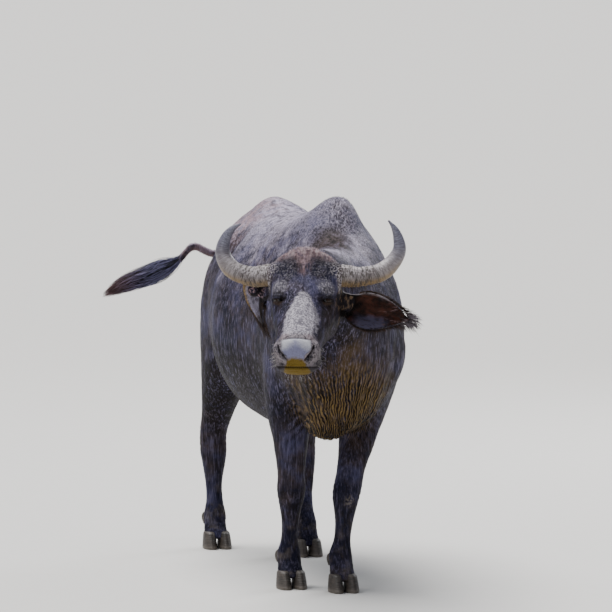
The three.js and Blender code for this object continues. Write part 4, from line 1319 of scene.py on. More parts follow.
def ear_skin(s, lumps, specks):
    """The folded inside of the left ear, the back of the right ear and the knob where it turns back."""
    c = colours()
    ear, along, wide = (s.attribute(name) for name in ("ear", "ear_along", "ear_wide"))
    mottle = (s.noise(s.head_place, 30, 3) - 0.5) * 0.5
    inside = s.mix(s.step(mottle, -0.12, 0.12), c.black_hide_and_shade, c.ear_inside)
    lobe = s.step(wide + mottle, 0.1, 0.4) * s.step(along, 0.3, 0.42) * s.step(along, 0.8, 0.6)
    inside = s.mix(lobe * 0.85, inside, c.ear_lobe)
    # Painted shade deep in the ear's hollow, towards its root.
    inside = s.mix(s.step(along + mottle * 0.4, 0.4, 0.26), inside, c.hollow)
    # Painted glints of light on the hair inside the ear.
    glints = s.step(s.noise(s.head_place, 6, 3, 0.6, (5, 1, 2)), 0.54, 0.66)
    inside = s.mix(glints * s.step(along, 0.55, 0.8) * 0.5, inside, c.red_hide_and_glint)
    inside = s.mix(s.step(wide * -1, 0.72, 0.94) * 0.8, inside, c.brow_pale)
    is_left = s.step(s.head_x, -10, 10)
    s.paint(s.step(ear, 0.0, 0.5) * is_left, inside)
    middle = s.step(wide + mottle, -0.3, 0.0) * s.step(along, 0.95, 0.8)
    bluish = s.mix(s.step(mottle, -0.05, 0.12), c.ear_pale, c.bald_dark)
    back = s.mix(middle, c.black_hide_and_shade, bluish)
    back = s.mix(s.step(wide, 0.6, 0.85) * middle, back, c.dust_pale)
    either = s.step(s.math("ABSOLUTE", ear), 0.0, 0.3)
    s.paint(either * (1 - is_left) * 0.9, back)
    knob = s.near(s.head_place, (-180, 106, -14), (60, 44, 40), 0.5)
    bark = s.mix(s.step(lumps, 0.42, 0.56), c.black_hide_and_shade, s.mix(specks, c.hide_dark, c.red_hide_and_glint))
    s.paint(knob * (0.75 + s.step(lumps, 0.4, 0.6) * 0.2), bark)


def skin_material():
    s = Shader("hide")
    hide_markings(s)
    # Painted shade in the troughs of the body's wrinkles.
    s.paint(s.step(s.attribute("folds"), -0.2, -2.8) * 0.85, colours().black_hide_and_shade)
    folds = chest_folds(s)
    on_head = on_skull(s, 160, 140)
    stipple = s.noise(s.head_place, 6.5, 3, 0.6)
    lumps = s.noise(s.head_place, 22, 3)
    fine = s.noise(s.head_place, 6, 3)
    specks = s.step(fine, 0.46, 0.62)
    bald = nose_bridge(s, lumps, stipple, on_head)
    horn_roots_and_lids(s, lumps, specks, on_head)
    pad, low, sides, cracks = muzzle_skin(s, lumps, stipple, on_head)
    ear_skin(s, lumps, specks)

    leather = s.cells(s.place, 4.2, "DISTANCE_TO_EDGE")
    hairs = s.noise(s.place, 3.2, 4, 0.65, (1, 5, 3))
    pores = s.noise(s.place, 1.6, 2)
    dry = s.noise(s.place, 30, 4)
    height = leather * 0.5 + hairs * 0.8 + pores * 0.25 + dry * 1.2 + folds
    forehead = s.near(s.head_place, (0, 95, 110), (130, 70, 60), 0.2) * s.step(lumps, 0.35, 0.6)
    brow = s.near(s.head_mirrored, (80, 6, 68), (46, 36, 46), 0.3)
    curls = s.cells(s.head_place, 9, "SMOOTH_F1") * 3.4 * (forehead + brow * 0.6).clamped()
    stippled = fine * (bald * 1.6 + sides * 0.8)
    height = height * (1 - pad * 0.75) - curls + stippled + s.step(cracks, 0, 0.14) * pad * 0.45
    roughness = 0.54 + (dry - 0.5) * 0.2 - (1 - low) * pad * 0.3 - low * pad * 0.1 + bald * 0.02
    return s.finish(roughness, height, 0.0011, Specular_IOR_Level=0.05)


# Horns, claws and eyes


HORN_PATHS = {
    "left": [
        (84, 84, 66), (128, 94, 61), (172, 102, 51), (212, 112, 49), (258, 126, 54),
        (296, 148, 76), (322, 178, 112), (317, 203, 151), (304, 217, 179), (284, 227, 203),
    ],
    "right": [
        (-84, 84, 66), (-128, 93, 61), (-171, 101, 49), (-210, 112, 48), (-247, 125, 55),
        (-277, 146, 74), (-293, 174, 106), (-281, 200, 146), (-256, 215, 175), (-229, 219, 190),
    ],
}
HORN_RADII = [38, 38, 36.5, 33, 32, 31, 28, 24, 19, 12, 3]


def horn(side):
    """A horn with rough rings and flutes near its root that give way to a smooth tip."""
    steps, around = 300, 96
    sign = SIDES[side]

    def ripple(share, angle):
        rough = step(0.62, 0.3, share)
        ring = 1.1 * math.sin(share * 190 + 2.2 * math.sin(share * 31)) + 0.6 * math.sin(share * 381)
        flutes = 0.9 * np.sin(angle * 9 + sign) + 0.6 * np.sin(angle * 23 + 2)
        smoother = 0.3 * (1 - rough) * np.sin(angle * 5)
        return rough * (ring * (0.7 + 0.3 * np.cos(angle)) + flutes * 0.7) + smoother

    points, faces = rod(HORN_PATHS[side], HORN_RADII, steps, around, ripple)
    share = np.append(np.repeat(np.linspace(0, 1, steps + 1), around), (0, 1))
    rough = step(0.66, 0.25, share)
    middle = Curve(HORN_PATHS[side]).at(share)
    out = unit(points - middle)
    chips = noise(points, 16, 40) * 1.4 + noise(points, 6, 41) * 0.9
    points = points + out * (chips * rough + 0.35 * noise(points, 20, 42))[:, None]
    made = mesh_object("horn_" + side + "_skin", on_head(points), faces, horn_material())
    numbers_on(made.data, "along", share)
    numbers_on(made.data, "under", (out @ HEAD_AXES.T)[:, 2] * -0.5 + 0.5)
    return made


class BUFFALO_OT_horns(bpy.types.Operator):
    """Build both horns"""

    bl_idname = "buffalo.horns"
    bl_label = "Horns"

    def execute(self, context):
        for side in SIDES:
            made = horn(side)
            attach(made, BODY)
            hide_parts("horn_" + side)
        return {"FINISHED"}


CLAW_SIZE = (51, 104, 64)
CLAW_SPREAD = 28  # from the middle of the foot to the middle of a claw
CLAW_AHEAD = 50  # how far a claw's middle lies before its fetlock
CLAW_LEAN = 40  # how far a claw's top would lean back at a share of 1
CLAW_LEVELS = [  # height, width, length and lean, as shares
    (0, 0.94, 0.96, 0),
    (0.03, 1, 1, 0),
    (0.12, 1.02, 1.02, 0.02),
    (0.5, 0.94, 0.9, 0.16),
    (0.85, 0.84, 0.78, 0.32),
    (0.94, 0.76, 0.72, 0.35),
    (1, 0.6, 0.56, 0.37),
]


def claw(foot, side):
    width, length, tall = CLAW_SIZE
    levels = np.array(CLAW_LEVELS)
    heights = np.unique(np.concatenate([[0, 0.008, 0.02], np.linspace(0.03, 1, 40)]))
    wide, long, back = (np.interp(heights, levels[:, 0], levels[:, k])[:, None] for k in (1, 2, 3))
    angle = (np.arange(72) / 72 * 2 * np.pi)[None]
    toe = np.cos(angle) < 0
    growth = 0.011 * np.sin(heights * 52 + 0.6 * np.sin(heights * 17))
    growth = 1 + growth[:, None] * (heights[:, None] > 0.04)
    across = width / 2 * wide * np.where(toe, power(np.sin(angle), 1.8), power(np.sin(angle), 2.6)) * growth
    along = length / 2 * long * power(np.cos(angle), 2.2) * np.where(toe, 1.14, 1) * growth
    x = foot[0] + side * CLAW_SPREAD + across
    y = foot[1] - CLAW_AHEAD + back * CLAW_LEAN + along
    z = np.broadcast_to((heights * tall)[:, None], x.shape)
    return skin_over(np.stack([x, y, z], -1))


DEWCLAW_PATH = [(21, 18, 122), (27, 38, 114), (29, 54, 98), (29, 60, 84)]
DEWCLAW_RADII = [15, 16, 13.5, 9, 3]


def dewclaw(foot, side):
    path = [(foot[0] + side * x, foot[1] + y, z) for x, y, z in DEWCLAW_PATH]
    return rod(path, DEWCLAW_RADII, 30, 28, lambda share, angle: 0.5 * math.sin(share * 40))


class BUFFALO_OT_claws(bpy.types.Operator):
    """Build the claws and dewclaws of all four feet"""

    bl_idname = "buffalo.claws"
    bl_label = "Claws"

    def execute(self, context):
        material = claw_material()
        for leg, (_, foot, _, _) in LEGS.items():
            flank = 1 if leg.endswith("left") else -1
            for which, turn in (("inner", -flank), ("outer", flank)):
                for kind, shape in (("claw", claw), ("dewclaw", dewclaw)):
                    node = f"{leg}_{kind}_{which}"
                    made = mesh_object(node + "_horn", *shape(foot, turn), material)
                    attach(made, BODY)
                    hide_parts(node)
        return {"FINISHED"}


def eyeball(name):
    """An eyeball with a bulging cornea, which looks out between the lids."""
    side = SIDES[name]
    points, faces = ellipsoid((0, 0, 0), (EYE_RADIUS,) * 3, 64, 40)
    centre, axes = slit_frame(side)
    eye = mirrored(EYE_PLACE, side)
    gaze = unit(centre - eye)
    facing = unit(points) @ gaze
    points = points + gaze * (1.3 * step(0.8, 0.97, facing))[:, None]
    made = mesh_object("eyeball_" + name, on_head(points + eye), faces, eye_material())
    numbers_on(made.data, "facing", facing)
    local = unit(points) @ axes
    numbers_on(made.data, "pupil", np.hypot(local[:, 0] / 2.1, local[:, 2]))
    return made


class BUFFALO_OT_eyes(bpy.types.Operator):
    """Build both eyeballs"""

    bl_idname = "buffalo.eyes"
    bl_label = "Eyes"

    def execute(self, context):
        for name in SIDES:
            made = eyeball(name)
            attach(made, BODY)
            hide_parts("eye_" + name)
        return {"FINISHED"}


def horn_material():
    s = Shader("horn")
    c = colours()
    along, under = s.attribute("along"), s.attribute("under")
    round_horn = s.joined(along * 420, s.head_y, under * 75)
    broad = s.noise(s.head_place, 55, 4)
    grain = s.noise(round_horn, 3.4, 4, 0.65, (1, 4.5, 4.5))
    rings = s.noise(round_horn, 9, 3, 0.6, (1, 9, 9))
    s.colour = s.mix(s.step(broad * 0.5 + grain * 0.6, 0.36, 0.72), c.horn_brown, c.horn_grey)
    # Painted shade on the horn's lower side, and painted ochre bounce light on its underside.
    s.paint(s.step(under + (rings - 0.5) * 0.6, 0.15, 0.6) * 0.6, c.horn_brown)
    s.paint(s.step(under + (grain - 0.5) * 0.3, 0.55, 0.85) * 0.85, c.horn_under_bounce)
    tip = s.step(along, 0.5, 0.82)
    s.paint(tip * 0.85, s.mix(s.step(grain, 0.3, 0.7), c.horn_tip_dark, c.horn_tip))
    rough = s.step(along, 0.62, 0.3)
    cracks = s.step(grain * 0.6 + rings * 0.4, 0.52, 0.43) * rough
    s.paint(cracks * 0.85, c.horn_crack)
    root = s.step(along, 0.1, 0.02) * s.step(broad, 0.3, 0.7)
    s.paint(root * 0.6, c.hide_brown)
    height = rings * rough * 2.2 + grain * (0.3 + rough * 1.8) - cracks * 0.6
    height = height + s.noise(s.head_place, 2, 2) * 0.2
    roughness = 0.38 + rough * 0.26 + (broad - 0.5) * 0.15
    return s.finish(roughness, height, 0.001, Specular_IOR_Level=0.5)


def claw_material():
    s = Shader("claw")
    c = colours()
    lines = s.noise(s.place, 3, 3, 0.6, (6, 6, 1))
    broad = s.noise(s.place, 22, 4)
    s.colour = s.mix(s.step(lines * 0.6 + broad * 0.5, 0.36, 0.72), c.claw_dark, c.claw_pale)
    s.paint(s.step(s.z + broad * 22, 34, 8) * 0.65, c.mud)
    height = lines + s.noise(s.place, 1.6, 2) * 0.3
    return s.finish(0.42 + broad * 0.3, height, 0.0007)


def eye_material():
    s = Shader("eye")
    c = colours()
    facing, pupil = s.attribute("facing"), s.attribute("pupil")
    fibres = s.noise(s.head_place, 2.0, 4)
    iris = s.mix(s.step(fibres, 0.35, 0.65), c.iris_dark, c.iris)
    s.colour = s.mix(s.step(facing, 0.74, 0.82), c.eye_white, iris)
    s.paint(s.step(pupil, 0.24, 0.17) * s.step(facing, 0.5, 0.6), c.hollow)
    shine = dict(Coat_Weight=0.1, Coat_Roughness=0.2, Specular_IOR_Level=0.2)
    return s.finish(0.2 + fibres * 0.1, fibres, 0.00005, **shine)


# Coat


def triangles_of(made):
    """Corners and point normals of an object's triangles."""
    mesh = made.data
    mesh.calc_loop_triangles()
    corners = np.empty(len(mesh.loop_triangles) * 3, np.int32)
    mesh.loop_triangles.foreach_get("vertices", corners)
    points, normals, _ = arrays_of(mesh)
    return points, normals, corners.reshape(-1, 3)


def scattered(surface, count, density, seed):
    """Places and normals spread over a surface, more of them where the density is higher."""
    points, normals, corners = surface
    rng = np.random.default_rng(seed)
    a, b, c = (points[corners[:, k]] for k in range(3))
    area = np.linalg.norm(np.cross(b - a, c - a), axis=1) / 2
    share = area * density((a + b + c) / 3, unit(normals[corners].sum(1)))
    chosen = np.searchsorted(np.cumsum(share) / share.sum(), rng.random(count))
    chosen = np.minimum(chosen, len(corners) - 1)
    u, v = rng.random((2, count, 1))
    u, v = np.where(u + v > 1, 1 - u, u), np.where(u + v > 1, 1 - v, v)
    place = a[chosen] * (1 - u - v) + b[chosen] * u + c[chosen] * v
    normal = unit((normals[corners[chosen]] * np.stack([1 - u - v, u, v], 1)).sum(1))
    return place, normal, rng


def tufts(place, normal, lie, length, width, rise, rng, rows=3, curl=0.25):
    """Tufts that leave the skin along the lie of the coat and bend down to it again."""
    lie = unit(lie - normal * (lie * normal).sum(1, keepdims=True))
    aside = np.cross(normal, lie)
    count = len(place)
    sway = rng.normal(0, curl, (count, 1))
    lie = unit(lie + aside * sway)
    t = np.linspace(0, 1, rows)[None, :, None]
    up = (rise * rng.uniform(0.6, 1.3, count))[:, None, None]
    long = (length * rng.uniform(0.7, 1.2, count))[:, None, None]
    path = place[:, None] + long * (
        lie[:, None] * t * (1 - 0.12 * up * t) + normal[:, None] * (up * (t - 0.45 * t * t) - 0.03 * (1 - t))
    )
    path = path + aside[:, None] * long * (t**2) * rng.normal(0, curl * 0.6, (count, 1, 1))
    taper = np.linspace(1, 0.35, rows)[None] * np.ones((count, 1))
    across = (width * rng.uniform(0.7, 1.25, count))[:, None] * taper
    return strands(path, np.repeat(normal[:, None], rows, 1), across, across * 0.45, sides=3)


def body_lie(place):
    """The way the hair lies: back and down on the body, straight down on the legs, up over the crest."""
    x, _, z = place.T
    leg = step(640, 470, z)
    crest = near(place, (30, -40, 1350), (120, 260, 130))
    lie = np.stack([0.12 * np.sign(x), 0.85 - 0.9 * leg, -0.35 - 0.75 * leg + 0.9 * crest], 1)
    return lie + 0.35 * np.stack([noise(place, 160, 51), noise(place, 130, 52), noise(place, 150, 53)], 1)


def head_lie(place):
    """Face hair runs down to the muzzle, and poll hair stands up and back."""
    local = in_head(place)
    x = local[:, 0]
    back = step(40, 120, local[:, 1])
    lie = np.stack([0.25 * np.sign(x), -0.9 + 1.6 * back, -0.15 + 0.2 * back], 1)
    lie += 0.5 * np.stack([noise(local, 40, 54), noise(local, 45, 55), noise(local, 42, 56)], 1)
    return lie @ HEAD_AXES.T


def body_unwrap(place):
    angle = np.arctan2(place[:, 0], place[:, 2] - 880) / (2 * np.pi) + 0.5
    return np.stack([(place[:, 1] + 620) / 2200, angle], 1)


def head_unwrap(place):
    local = in_head(place)
    angle = np.arctan2(local[:, 0], local[:, 2] + 50) / (2 * np.pi) + 0.5
    return np.stack([(local[:, 1] + 340) / 620, angle], 1)


def leg_unwrap(place):
    feet = np.array([foot for _, foot, _, _ in LEGS.values()], float)
    leg = np.argmin(np.linalg.norm(place[:, None, :2] - feet[None], axis=2), axis=1)
    x, y = (place[:, :2] - feet[leg]).T
    angle = np.arctan2(x, y) / (2 * np.pi) + 0.5
    return np.stack([(leg + angle) / 4, place[:, 2] / 900], 1)


def crest_share(place):
    """1 along the mane-like hair of the crest, withers and poll."""
    local = in_head(place)
    along = near(place, (30, -30, 1350), (110, 330, 130))
    poll = near(local, (0, 140, 125), (130, 75, 70))
    return np.clip(along + poll, 0, 1)


LEGS_MIDDLE = 560  # half way between forelegs and hindlegs
LEGS_APART = 300


def leg_share(place, high, low):
    """1 on the legs, from 0 at the height where they leave the trunk."""
    return step(high, low, place[:, 2]) * (np.abs(place[:, 1] - LEGS_MIDDLE) > LEGS_APART)


def body_density(place, normal):
    skull = head_zone(place) & (in_head(place)[:, 1] < 130)
    low = step(90, 160, place[:, 2])
    dust = near(place, CHEST, (250, 240, 230))
    amount = 0.5 + 0.5 * noise(place, 120, 57) ** 2 + 2.2 * crest_share(place) - 0.35 * dust
    amount += 1.2 * step(-0.2, 0.5, normal[:, 2]) + 0.9 * step(0.1, -0.6, normal[:, 2])
    return np.clip(amount, 0.05, 9) * low * ~skull * (1 - leg_share(place, 640, 560))


def leg_density(place, normal):
    above_claws = step(52, 66, place[:, 2])
    round_claws = 0.6 + 1.3 * near(place * (0, 0, 1), (0, 0, 70), (1, 1, 90))
    return leg_share(place, 700, 600) * above_claws * round_claws


def head_density(place, normal):
    local = in_head(place)
    x, y, z = np.abs(local[:, 0]), local[:, 1], local[:, 2]
    skull = head_zone(place) & (y < 135) & (x < 150)
    edge = np.interp(y, *zip(*BALD_EDGE))
    bald = step(0, 14, edge - x) * step(-20, 20, z) * (y < 40)
    pad = step(58, 44, x) * step(-252, -262, y)
    both = np.stack([x, y, z], 1)
    eye = step(20, 34, np.linalg.norm((both - (84, -27, 39)) * (0.6, 1, 1), axis=1))
    nostril = step(22, 34, np.linalg.norm(both - (52, -292, 6), axis=1))
    muzzle = 1 - 0.8 * step(-230, -250, y)
    amount = 0.8 + 2.2 * step(30, 120, y) * step(0, 60, z)
    amount += 1.2 * near(local, (0, 100, 115), (120, 70, 60))
    return skull * amount * (1 - bald) * (1 - pad) * eye * nostril * muzzle


def section(low, high):
    """The body's density between two places along it."""

    def density(place, normal):
        inside = (place[:, 1] >= low) & (place[:, 1] < high)
        return body_density(place, normal) * inside

    return density


COATS = {
    "coat_neck": (19000, section(-900, 160), body_lie, body_unwrap, 70),
    "coat_barrel": (19000, section(160, 850), body_lie, body_unwrap, 71),
    "coat_rump": (19000, section(850, 1700), body_lie, body_unwrap, 74),
    "coat_legs": (15000, leg_density, body_lie, leg_unwrap, 72),
    "coat_head": (17000, head_density, head_lie, head_unwrap, 73),
}


class BUFFALO_OT_coat(bpy.types.Operator):
    """Set short tufts on the skin where the coat breaks its outline"""

    bl_idname = "buffalo.coat"
    bl_label = "Coat"

    def execute(self, context):
        surface = triangles_of(bpy.data.objects["skin"])
        material = hair_material("coat")
        for name, (count, density, lie, unwrap, seed) in COATS.items():
            place, normal, rng = scattered(surface, count, density, seed)
            if name == "coat_head":
                local = in_head(place)
                back = step(20, 120, local[:, 1]) * step(0, 60, local[:, 2])
                length = 5 + 6.5 * back
                width = 0.9 + 0.5 * back
                rise = 0.26 + 0.12 * back
            elif name == "coat_legs":
                length = np.full(count, 12.0)
                width = np.full(count, 1.1)
                rise = np.full(count, 0.14)
            else:
                crest = crest_share(place)
                length = 15 + 16 * crest**0.7
                width = 1.0 + 0.4 * crest
                rise = 0.13 + 0.09 * crest
            made = tufts(place, normal, lie(place), length * sizes().coat_length, width, rise, rng)
            piece = strand_object(name, made, unwrap(place), material, rng.random(count))
            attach(piece, BODY)
        return {"FINISHED"}


def ear_hair(side):
    """Fringe locks along the edges of an ear and softer hair inside it, in the head's frame."""
    ear = Ear(side)
    rng = np.random.default_rng(80 + SIDES[side])
    paths, facing, widths = [], [], []
    t = np.linspace(0, 1, 5)

    def lock(share, s, out, along_share, reach, width, depth=0.0, back=True):
        _, along, wide, deep = (v[0] for v in ear.frame(np.array([share])))
        root = ear.surface(np.array([share]), np.array([s]), back)[0]
        heading = unit(out * wide * np.sign(s if s else 1) + along_share * along + depth * deep)
        drop = HEAD_AXES.T @ np.array([0, 0, -1.0])
        bend = rng.normal(0, 0.1, 3)
        path = root - heading * 2 + (reach * t)[:, None] * heading
        path += (reach * 0.22 * t**2)[:, None] * (drop + bend)
        paths.append(path)
        facing.append(np.repeat(deep[None], 5, 0))
        widths.append(width * np.array([1, 1.1, 0.9, 0.5, 0.15]))

    for _ in range(520):
        share = rng.uniform(0.3, 0.985)
        edge = rng.choice((-1, 1))
        reach = between(8, 17, rng.random()) + 44 * step(0.78, 0.97, share) * rng.uniform(0.5, 1)
        lock(share, edge * rng.uniform(0.88, 0.98), rng.uniform(0.15, 0.5), rng.uniform(0.7, 1.0), reach, 1.6)
    for _ in range(150):
        reach = rng.uniform(24, 52)
        lock(rng.uniform(0.93, 0.995), rng.uniform(-0.95, 0.95), rng.uniform(-0.1, 0.35), 1.0, reach, 1.6)
    for _ in range(300):
        share, s = rng.uniform(0.3, 0.95), rng.uniform(-0.95, 0.95)
        reach = rng.uniform(8, 20)
        out, on = rng.uniform(-0.4, 0.5), rng.uniform(0.7, 1.0)
        lock(share, s, out, on, reach, 1.1, -rng.uniform(0.1, 0.3), back=False)
    for _ in range(650):
        share, s = rng.uniform(0.2, 0.97), rng.uniform(-0.9, 0.9)
        lock(share, s, rng.uniform(-0.1, 0.1), 1.0, rng.uniform(7, 12), 1.1, 0.1)
    paths = on_head(np.array(paths).reshape(-1, 3)).reshape(-1, 5, 3)
    facing = (np.array(facing).reshape(-1, 3) @ HEAD_AXES.T).reshape(-1, 5, 3)
    widths = np.array(widths)
    places = in_head(paths[:, 0])
    angle = np.arctan2(places[:, 2] + 70, places[:, 1] - 70) / (2 * np.pi) + 0.5
    unwrap = np.stack([np.abs(places[:, 0]) / 400, angle], 1)
    return strands(paths, facing, widths, widths * 0.35), unwrap, rng


class BUFFALO_OT_ear_hair(bpy.types.Operator):
    """Build the fringes and inner hair of both ears"""

    bl_idname = "buffalo.ear_hair"
    bl_label = "Ear Hair"

    def execute(self, context):
        material = hair_material("ear_hair")
        for side in SIDES:
            made, unwrap, rng = ear_hair(side)
            piece = strand_object("ear_hair_" + side, made, unwrap, material, rng.random(len(unwrap)))
            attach(piece, BODY)
        return {"FINISHED"}


TUFT_CURVE = [
    (-250, 1520, 1106),
    (-288, 1520, 1066),
    (-345, 1520, 1036),
    (-405, 1520, 1012),
    (-470, 1521, 990),
    (-530, 1522, 962),
    (-578, 1522, 934),
]
TUFT_WIDTHS = [10, 26, 38, 36, 32, 22, 8]


def tail_locks(count, width, spread, seed, rows=9):
    """Locks that leave the tail one after another and run on along it to the tuft's end."""
    rng = np.random.default_rng(seed)
    curve = Curve(TUFT_CURVE)
    start = rng.uniform(0.02, 0.6, count) ** 1.15
    end = np.minimum(start + rng.uniform(0.35, 0.6, count), rng.uniform(0.82, 1.0, count))
    turn = rng.uniform(0, 2 * np.pi, count)
    out = rng.uniform(0.15, 1.0, count) ** 0.6
    twist = rng.normal(0, 0.5, count)
    paths, facing = np.empty((count, rows, 3)), np.empty((count, rows, 3))
    for k in range(rows):
        t = k / (rows - 1)
        share = start + (end - start) * t
        centre, along = curve.at(share), curve.along(share)
        side = unit(np.cross(along, (0, 1.0, 0)))
        deep = np.cross(along, side)
        angle = turn + twist * t
        radial = side * np.cos(angle)[:, None] + deep * (0.75 * np.sin(angle))[:, None]
        opening = 0.3 + 0.8 * math.sin(min(t * 1.5, 1) * math.pi / 2)
        reach = through(TUFT_WIDTHS, share) * out * opening * spread
        wave = 1.6 * np.sin(t * 7 + turn * 5)
        paths[:, k] = centre + radial * (reach + wave * t)[:, None]
        facing[:, k] = radial
    shape = np.interp(np.linspace(0, 1, rows), (0, 0.15, 0.6, 0.9, 1), (0.5, 1, 0.9, 0.45, 0.1))
    widths = width * rng.uniform(0.7, 1.3, count)[:, None] * shape
    return paths, facing, widths, start, turn, rng


class BUFFALO_OT_tail_hair(bpy.types.Operator):
    """Build the long hair at the end of the tail"""

    bl_idname = "buffalo.tail_hair"
    bl_label = "Tail Hair"

    def execute(self, context):
        broad = tail_locks(420, 7.0, 0.9, 91)
        fine = tail_locks(1900, 2.0, 1.06, 92)
        paths, facing, widths, start, turn = (np.concatenate([a, b]) for a, b in zip(broad[:5], fine[:5]))
        made = strands(paths, facing, widths, widths * 0.3)
        unwrap = np.stack([start, turn / (2 * np.pi)], 1)
        tone = broad[5].random(len(start))
        piece = strand_object("tail_hair", made, unwrap, hair_material("tail_hair"), tone)
        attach(piece, BODY)
        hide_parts("tail_tuft")
        return {"FINISHED"}


def whisker_paths():
    """Bristles of the muzzle and chin, and the lashes."""
    rng = np.random.default_rng(95)
    paths, thick = [], []
    t = np.linspace(0, 1, 6)
    for side in SIDES.values():
        for _ in range(46):
            at = mirrored(rng.uniform((60, -290, -62), (76, -215, 12)), side)
            heading = unit(mirrored(rng.uniform((0.7, -0.9, -0.6), (1.2, -0.1, 0.3)), side))
            at = at * (0.92, 1, 1)
            reach = rng.uniform(20, 44)
            path = at + (reach * t)[:, None] * heading + (reach * 0.3 * t**2)[:, None] * (0, 0.1, -0.6)
            paths.append(path)
            thick.append(0.8)
        centre, axes = slit_frame(side)
        eye = mirrored(EYE_PLACE, side)
        for k in range(34):
            s = between(-0.95, 0.95, k / 33)
            local = np.array([s * SLIT_HALF[0], 0, (1 - s * s) * SLIT_HALF[1] + 1.5])
            edge = centre + axes @ local
            away = unit(edge - eye)
            root = eye + away * 27
            heading = unit(away + 0.5 * axes @ np.array([s * 0.6, 0, -0.4]) + rng.normal(0, 0.08, 3))
            reach = rng.uniform(11, 17)
            droop = axes @ np.array([0, 0, -0.35])
            paths.append(root + (reach * t)[:, None] * heading + (reach * t**2)[:, None] * droop * 0.6)
            thick.append(0.6)
    for _ in range(60):
        at = np.array([rng.uniform(-44, 44), rng.uniform(-300, -225), -98.0])
        at[2] = -88 - 12 * (at[1] > -280)
        reach = rng.uniform(12, 26)
        heading = unit(np.array([at[0] / 60, -0.3, -1.0]) + rng.normal(0, 0.15, 3))
        paths.append(at + (reach * t)[:, None] * heading)
        thick.append(0.7)
    return np.array(paths), np.array(thick)


class BUFFALO_OT_bristles(bpy.types.Operator):
    """Build the bristles of the muzzle and the lashes"""

    bl_idname = "buffalo.bristles"
    bl_label = "Bristles"

    def execute(self, context):
        paths, thick = whisker_paths()
        widths = thick[:, None] * np.array([1, 0.9, 0.75, 0.6, 0.4, 0.2])[None]
        world = on_head(paths.reshape(-1, 3)).reshape(paths.shape)
        facing = np.broadcast_to(unit(np.array([0.3, 0.2, 1.0])), world.shape)
        made = strands(world, facing, widths, widths, sides=3)
        tone = np.random.default_rng(96).random(len(paths))
        piece = strand_object("bristles", made, head_unwrap(world[:, 0]), hair_material("bristles"), tone)
        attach(piece, BODY)
        return {"FINISHED"}


def hair_material(name):
    """The hair of the coat, the ears, the tail or the bristles."""
    s = Shader(name)
    c = colours()
    tone = s.attribute("tone")
    if name == "coat":
        hide_markings(s)
        # Painted highlight: more pale tufts higher up on the body.
        lit = 0.12 + s.step(s.z, 700, 1050) * 0.3
        s.paint(s.step(tone, 0.5, 1.0) * lit, c.pale_hair_and_highlight)
        s.paint(s.step(tone, 0.35, 0.0) * 0.22, c.hair_dark)
    elif name == "ear_hair":
        pale = s.near(s.head_place, (385, 48, -104), (80, 60, 60), 0.3)
        s.colour = s.mix(tone * 0.8, c.hair_dark, c.hair_brown)
        s.paint(pale * s.step(tone, 0.2, 0.7), c.pale_hair_and_highlight)
    elif name == "tail_hair":
        end = s.step(s.x, -380, -560)
        body = s.mix(s.step(tone, 0.3, 1.0), c.tail_dark, c.tail_blue)
        s.colour = s.mix(end * 0.75, body, s.mix(tone, c.hair_dark, c.tail_red))
    else:
        s.colour = s.mix(s.step(tone, 0.3, 0.7), c.hair_brown, c.bristle)
        lash = s.near(s.head_mirrored, (84, -35, 42), (42, 34, 30), 0.8)
        s.paint(lash, c.hair_dark)
    streaks = s.noise(s.place, 2.2, 2)
    return s.finish(0.5 + streaks * 0.25, streaks, 0.0003, Specular_IOR_Level=0.1)


# Stage


def light(name, kind, place, strength, tint, **settings):
    """A light at a place, in metres, that shines at the middle of the cow."""
    data = bpy.data.lights.new(name, kind)
    data.energy = strength
    data.color = tint
    for key, value in settings.items():
        setattr(data, key, value)
    made = bpy.data.objects.new(name, data)
    bpy.context.scene.collection.objects.link(made)
    made.location = place
    made.rotation_euler = (Vector((0, 0, 0.9)) - Vector(place)).to_track_quat("-Z", "Y").to_euler()


CAMERA_TARGET = np.array([-103.7, 22.0, 1008.0])
CAMERA_AZIMUTH = -12
CAMERA_HEIGHT_ANGLE = 4.5
CAMERA_DISTANCE = 20000
IMAGE_WIDTH = 612
FOCAL_PIXELS = 5633.8
SENSOR_WIDTH = 36


def camera():
    a, e = math.radians(CAMERA_AZIMUTH), math.radians(CAMERA_HEIGHT_ANGLE)
    back = Vector((math.sin(a) * math.cos(e), -math.cos(a) * math.cos(e), math.sin(e)))
    data = bpy.data.cameras.new("camera")
    data.sensor_width = SENSOR_WIDTH
    data.lens = SENSOR_WIDTH * FOCAL_PIXELS / IMAGE_WIDTH
    data.clip_end = 1000
    made = bpy.data.objects.new("camera", data)
    bpy.context.scene.collection.objects.link(made)
    made.location = Vector(to_frame(CAMERA_TARGET)) + back * CAMERA_DISTANCE * MM
    made.rotation_euler = back.to_track_quat("Z", "Y").to_euler()
    bpy.context.scene.camera = made


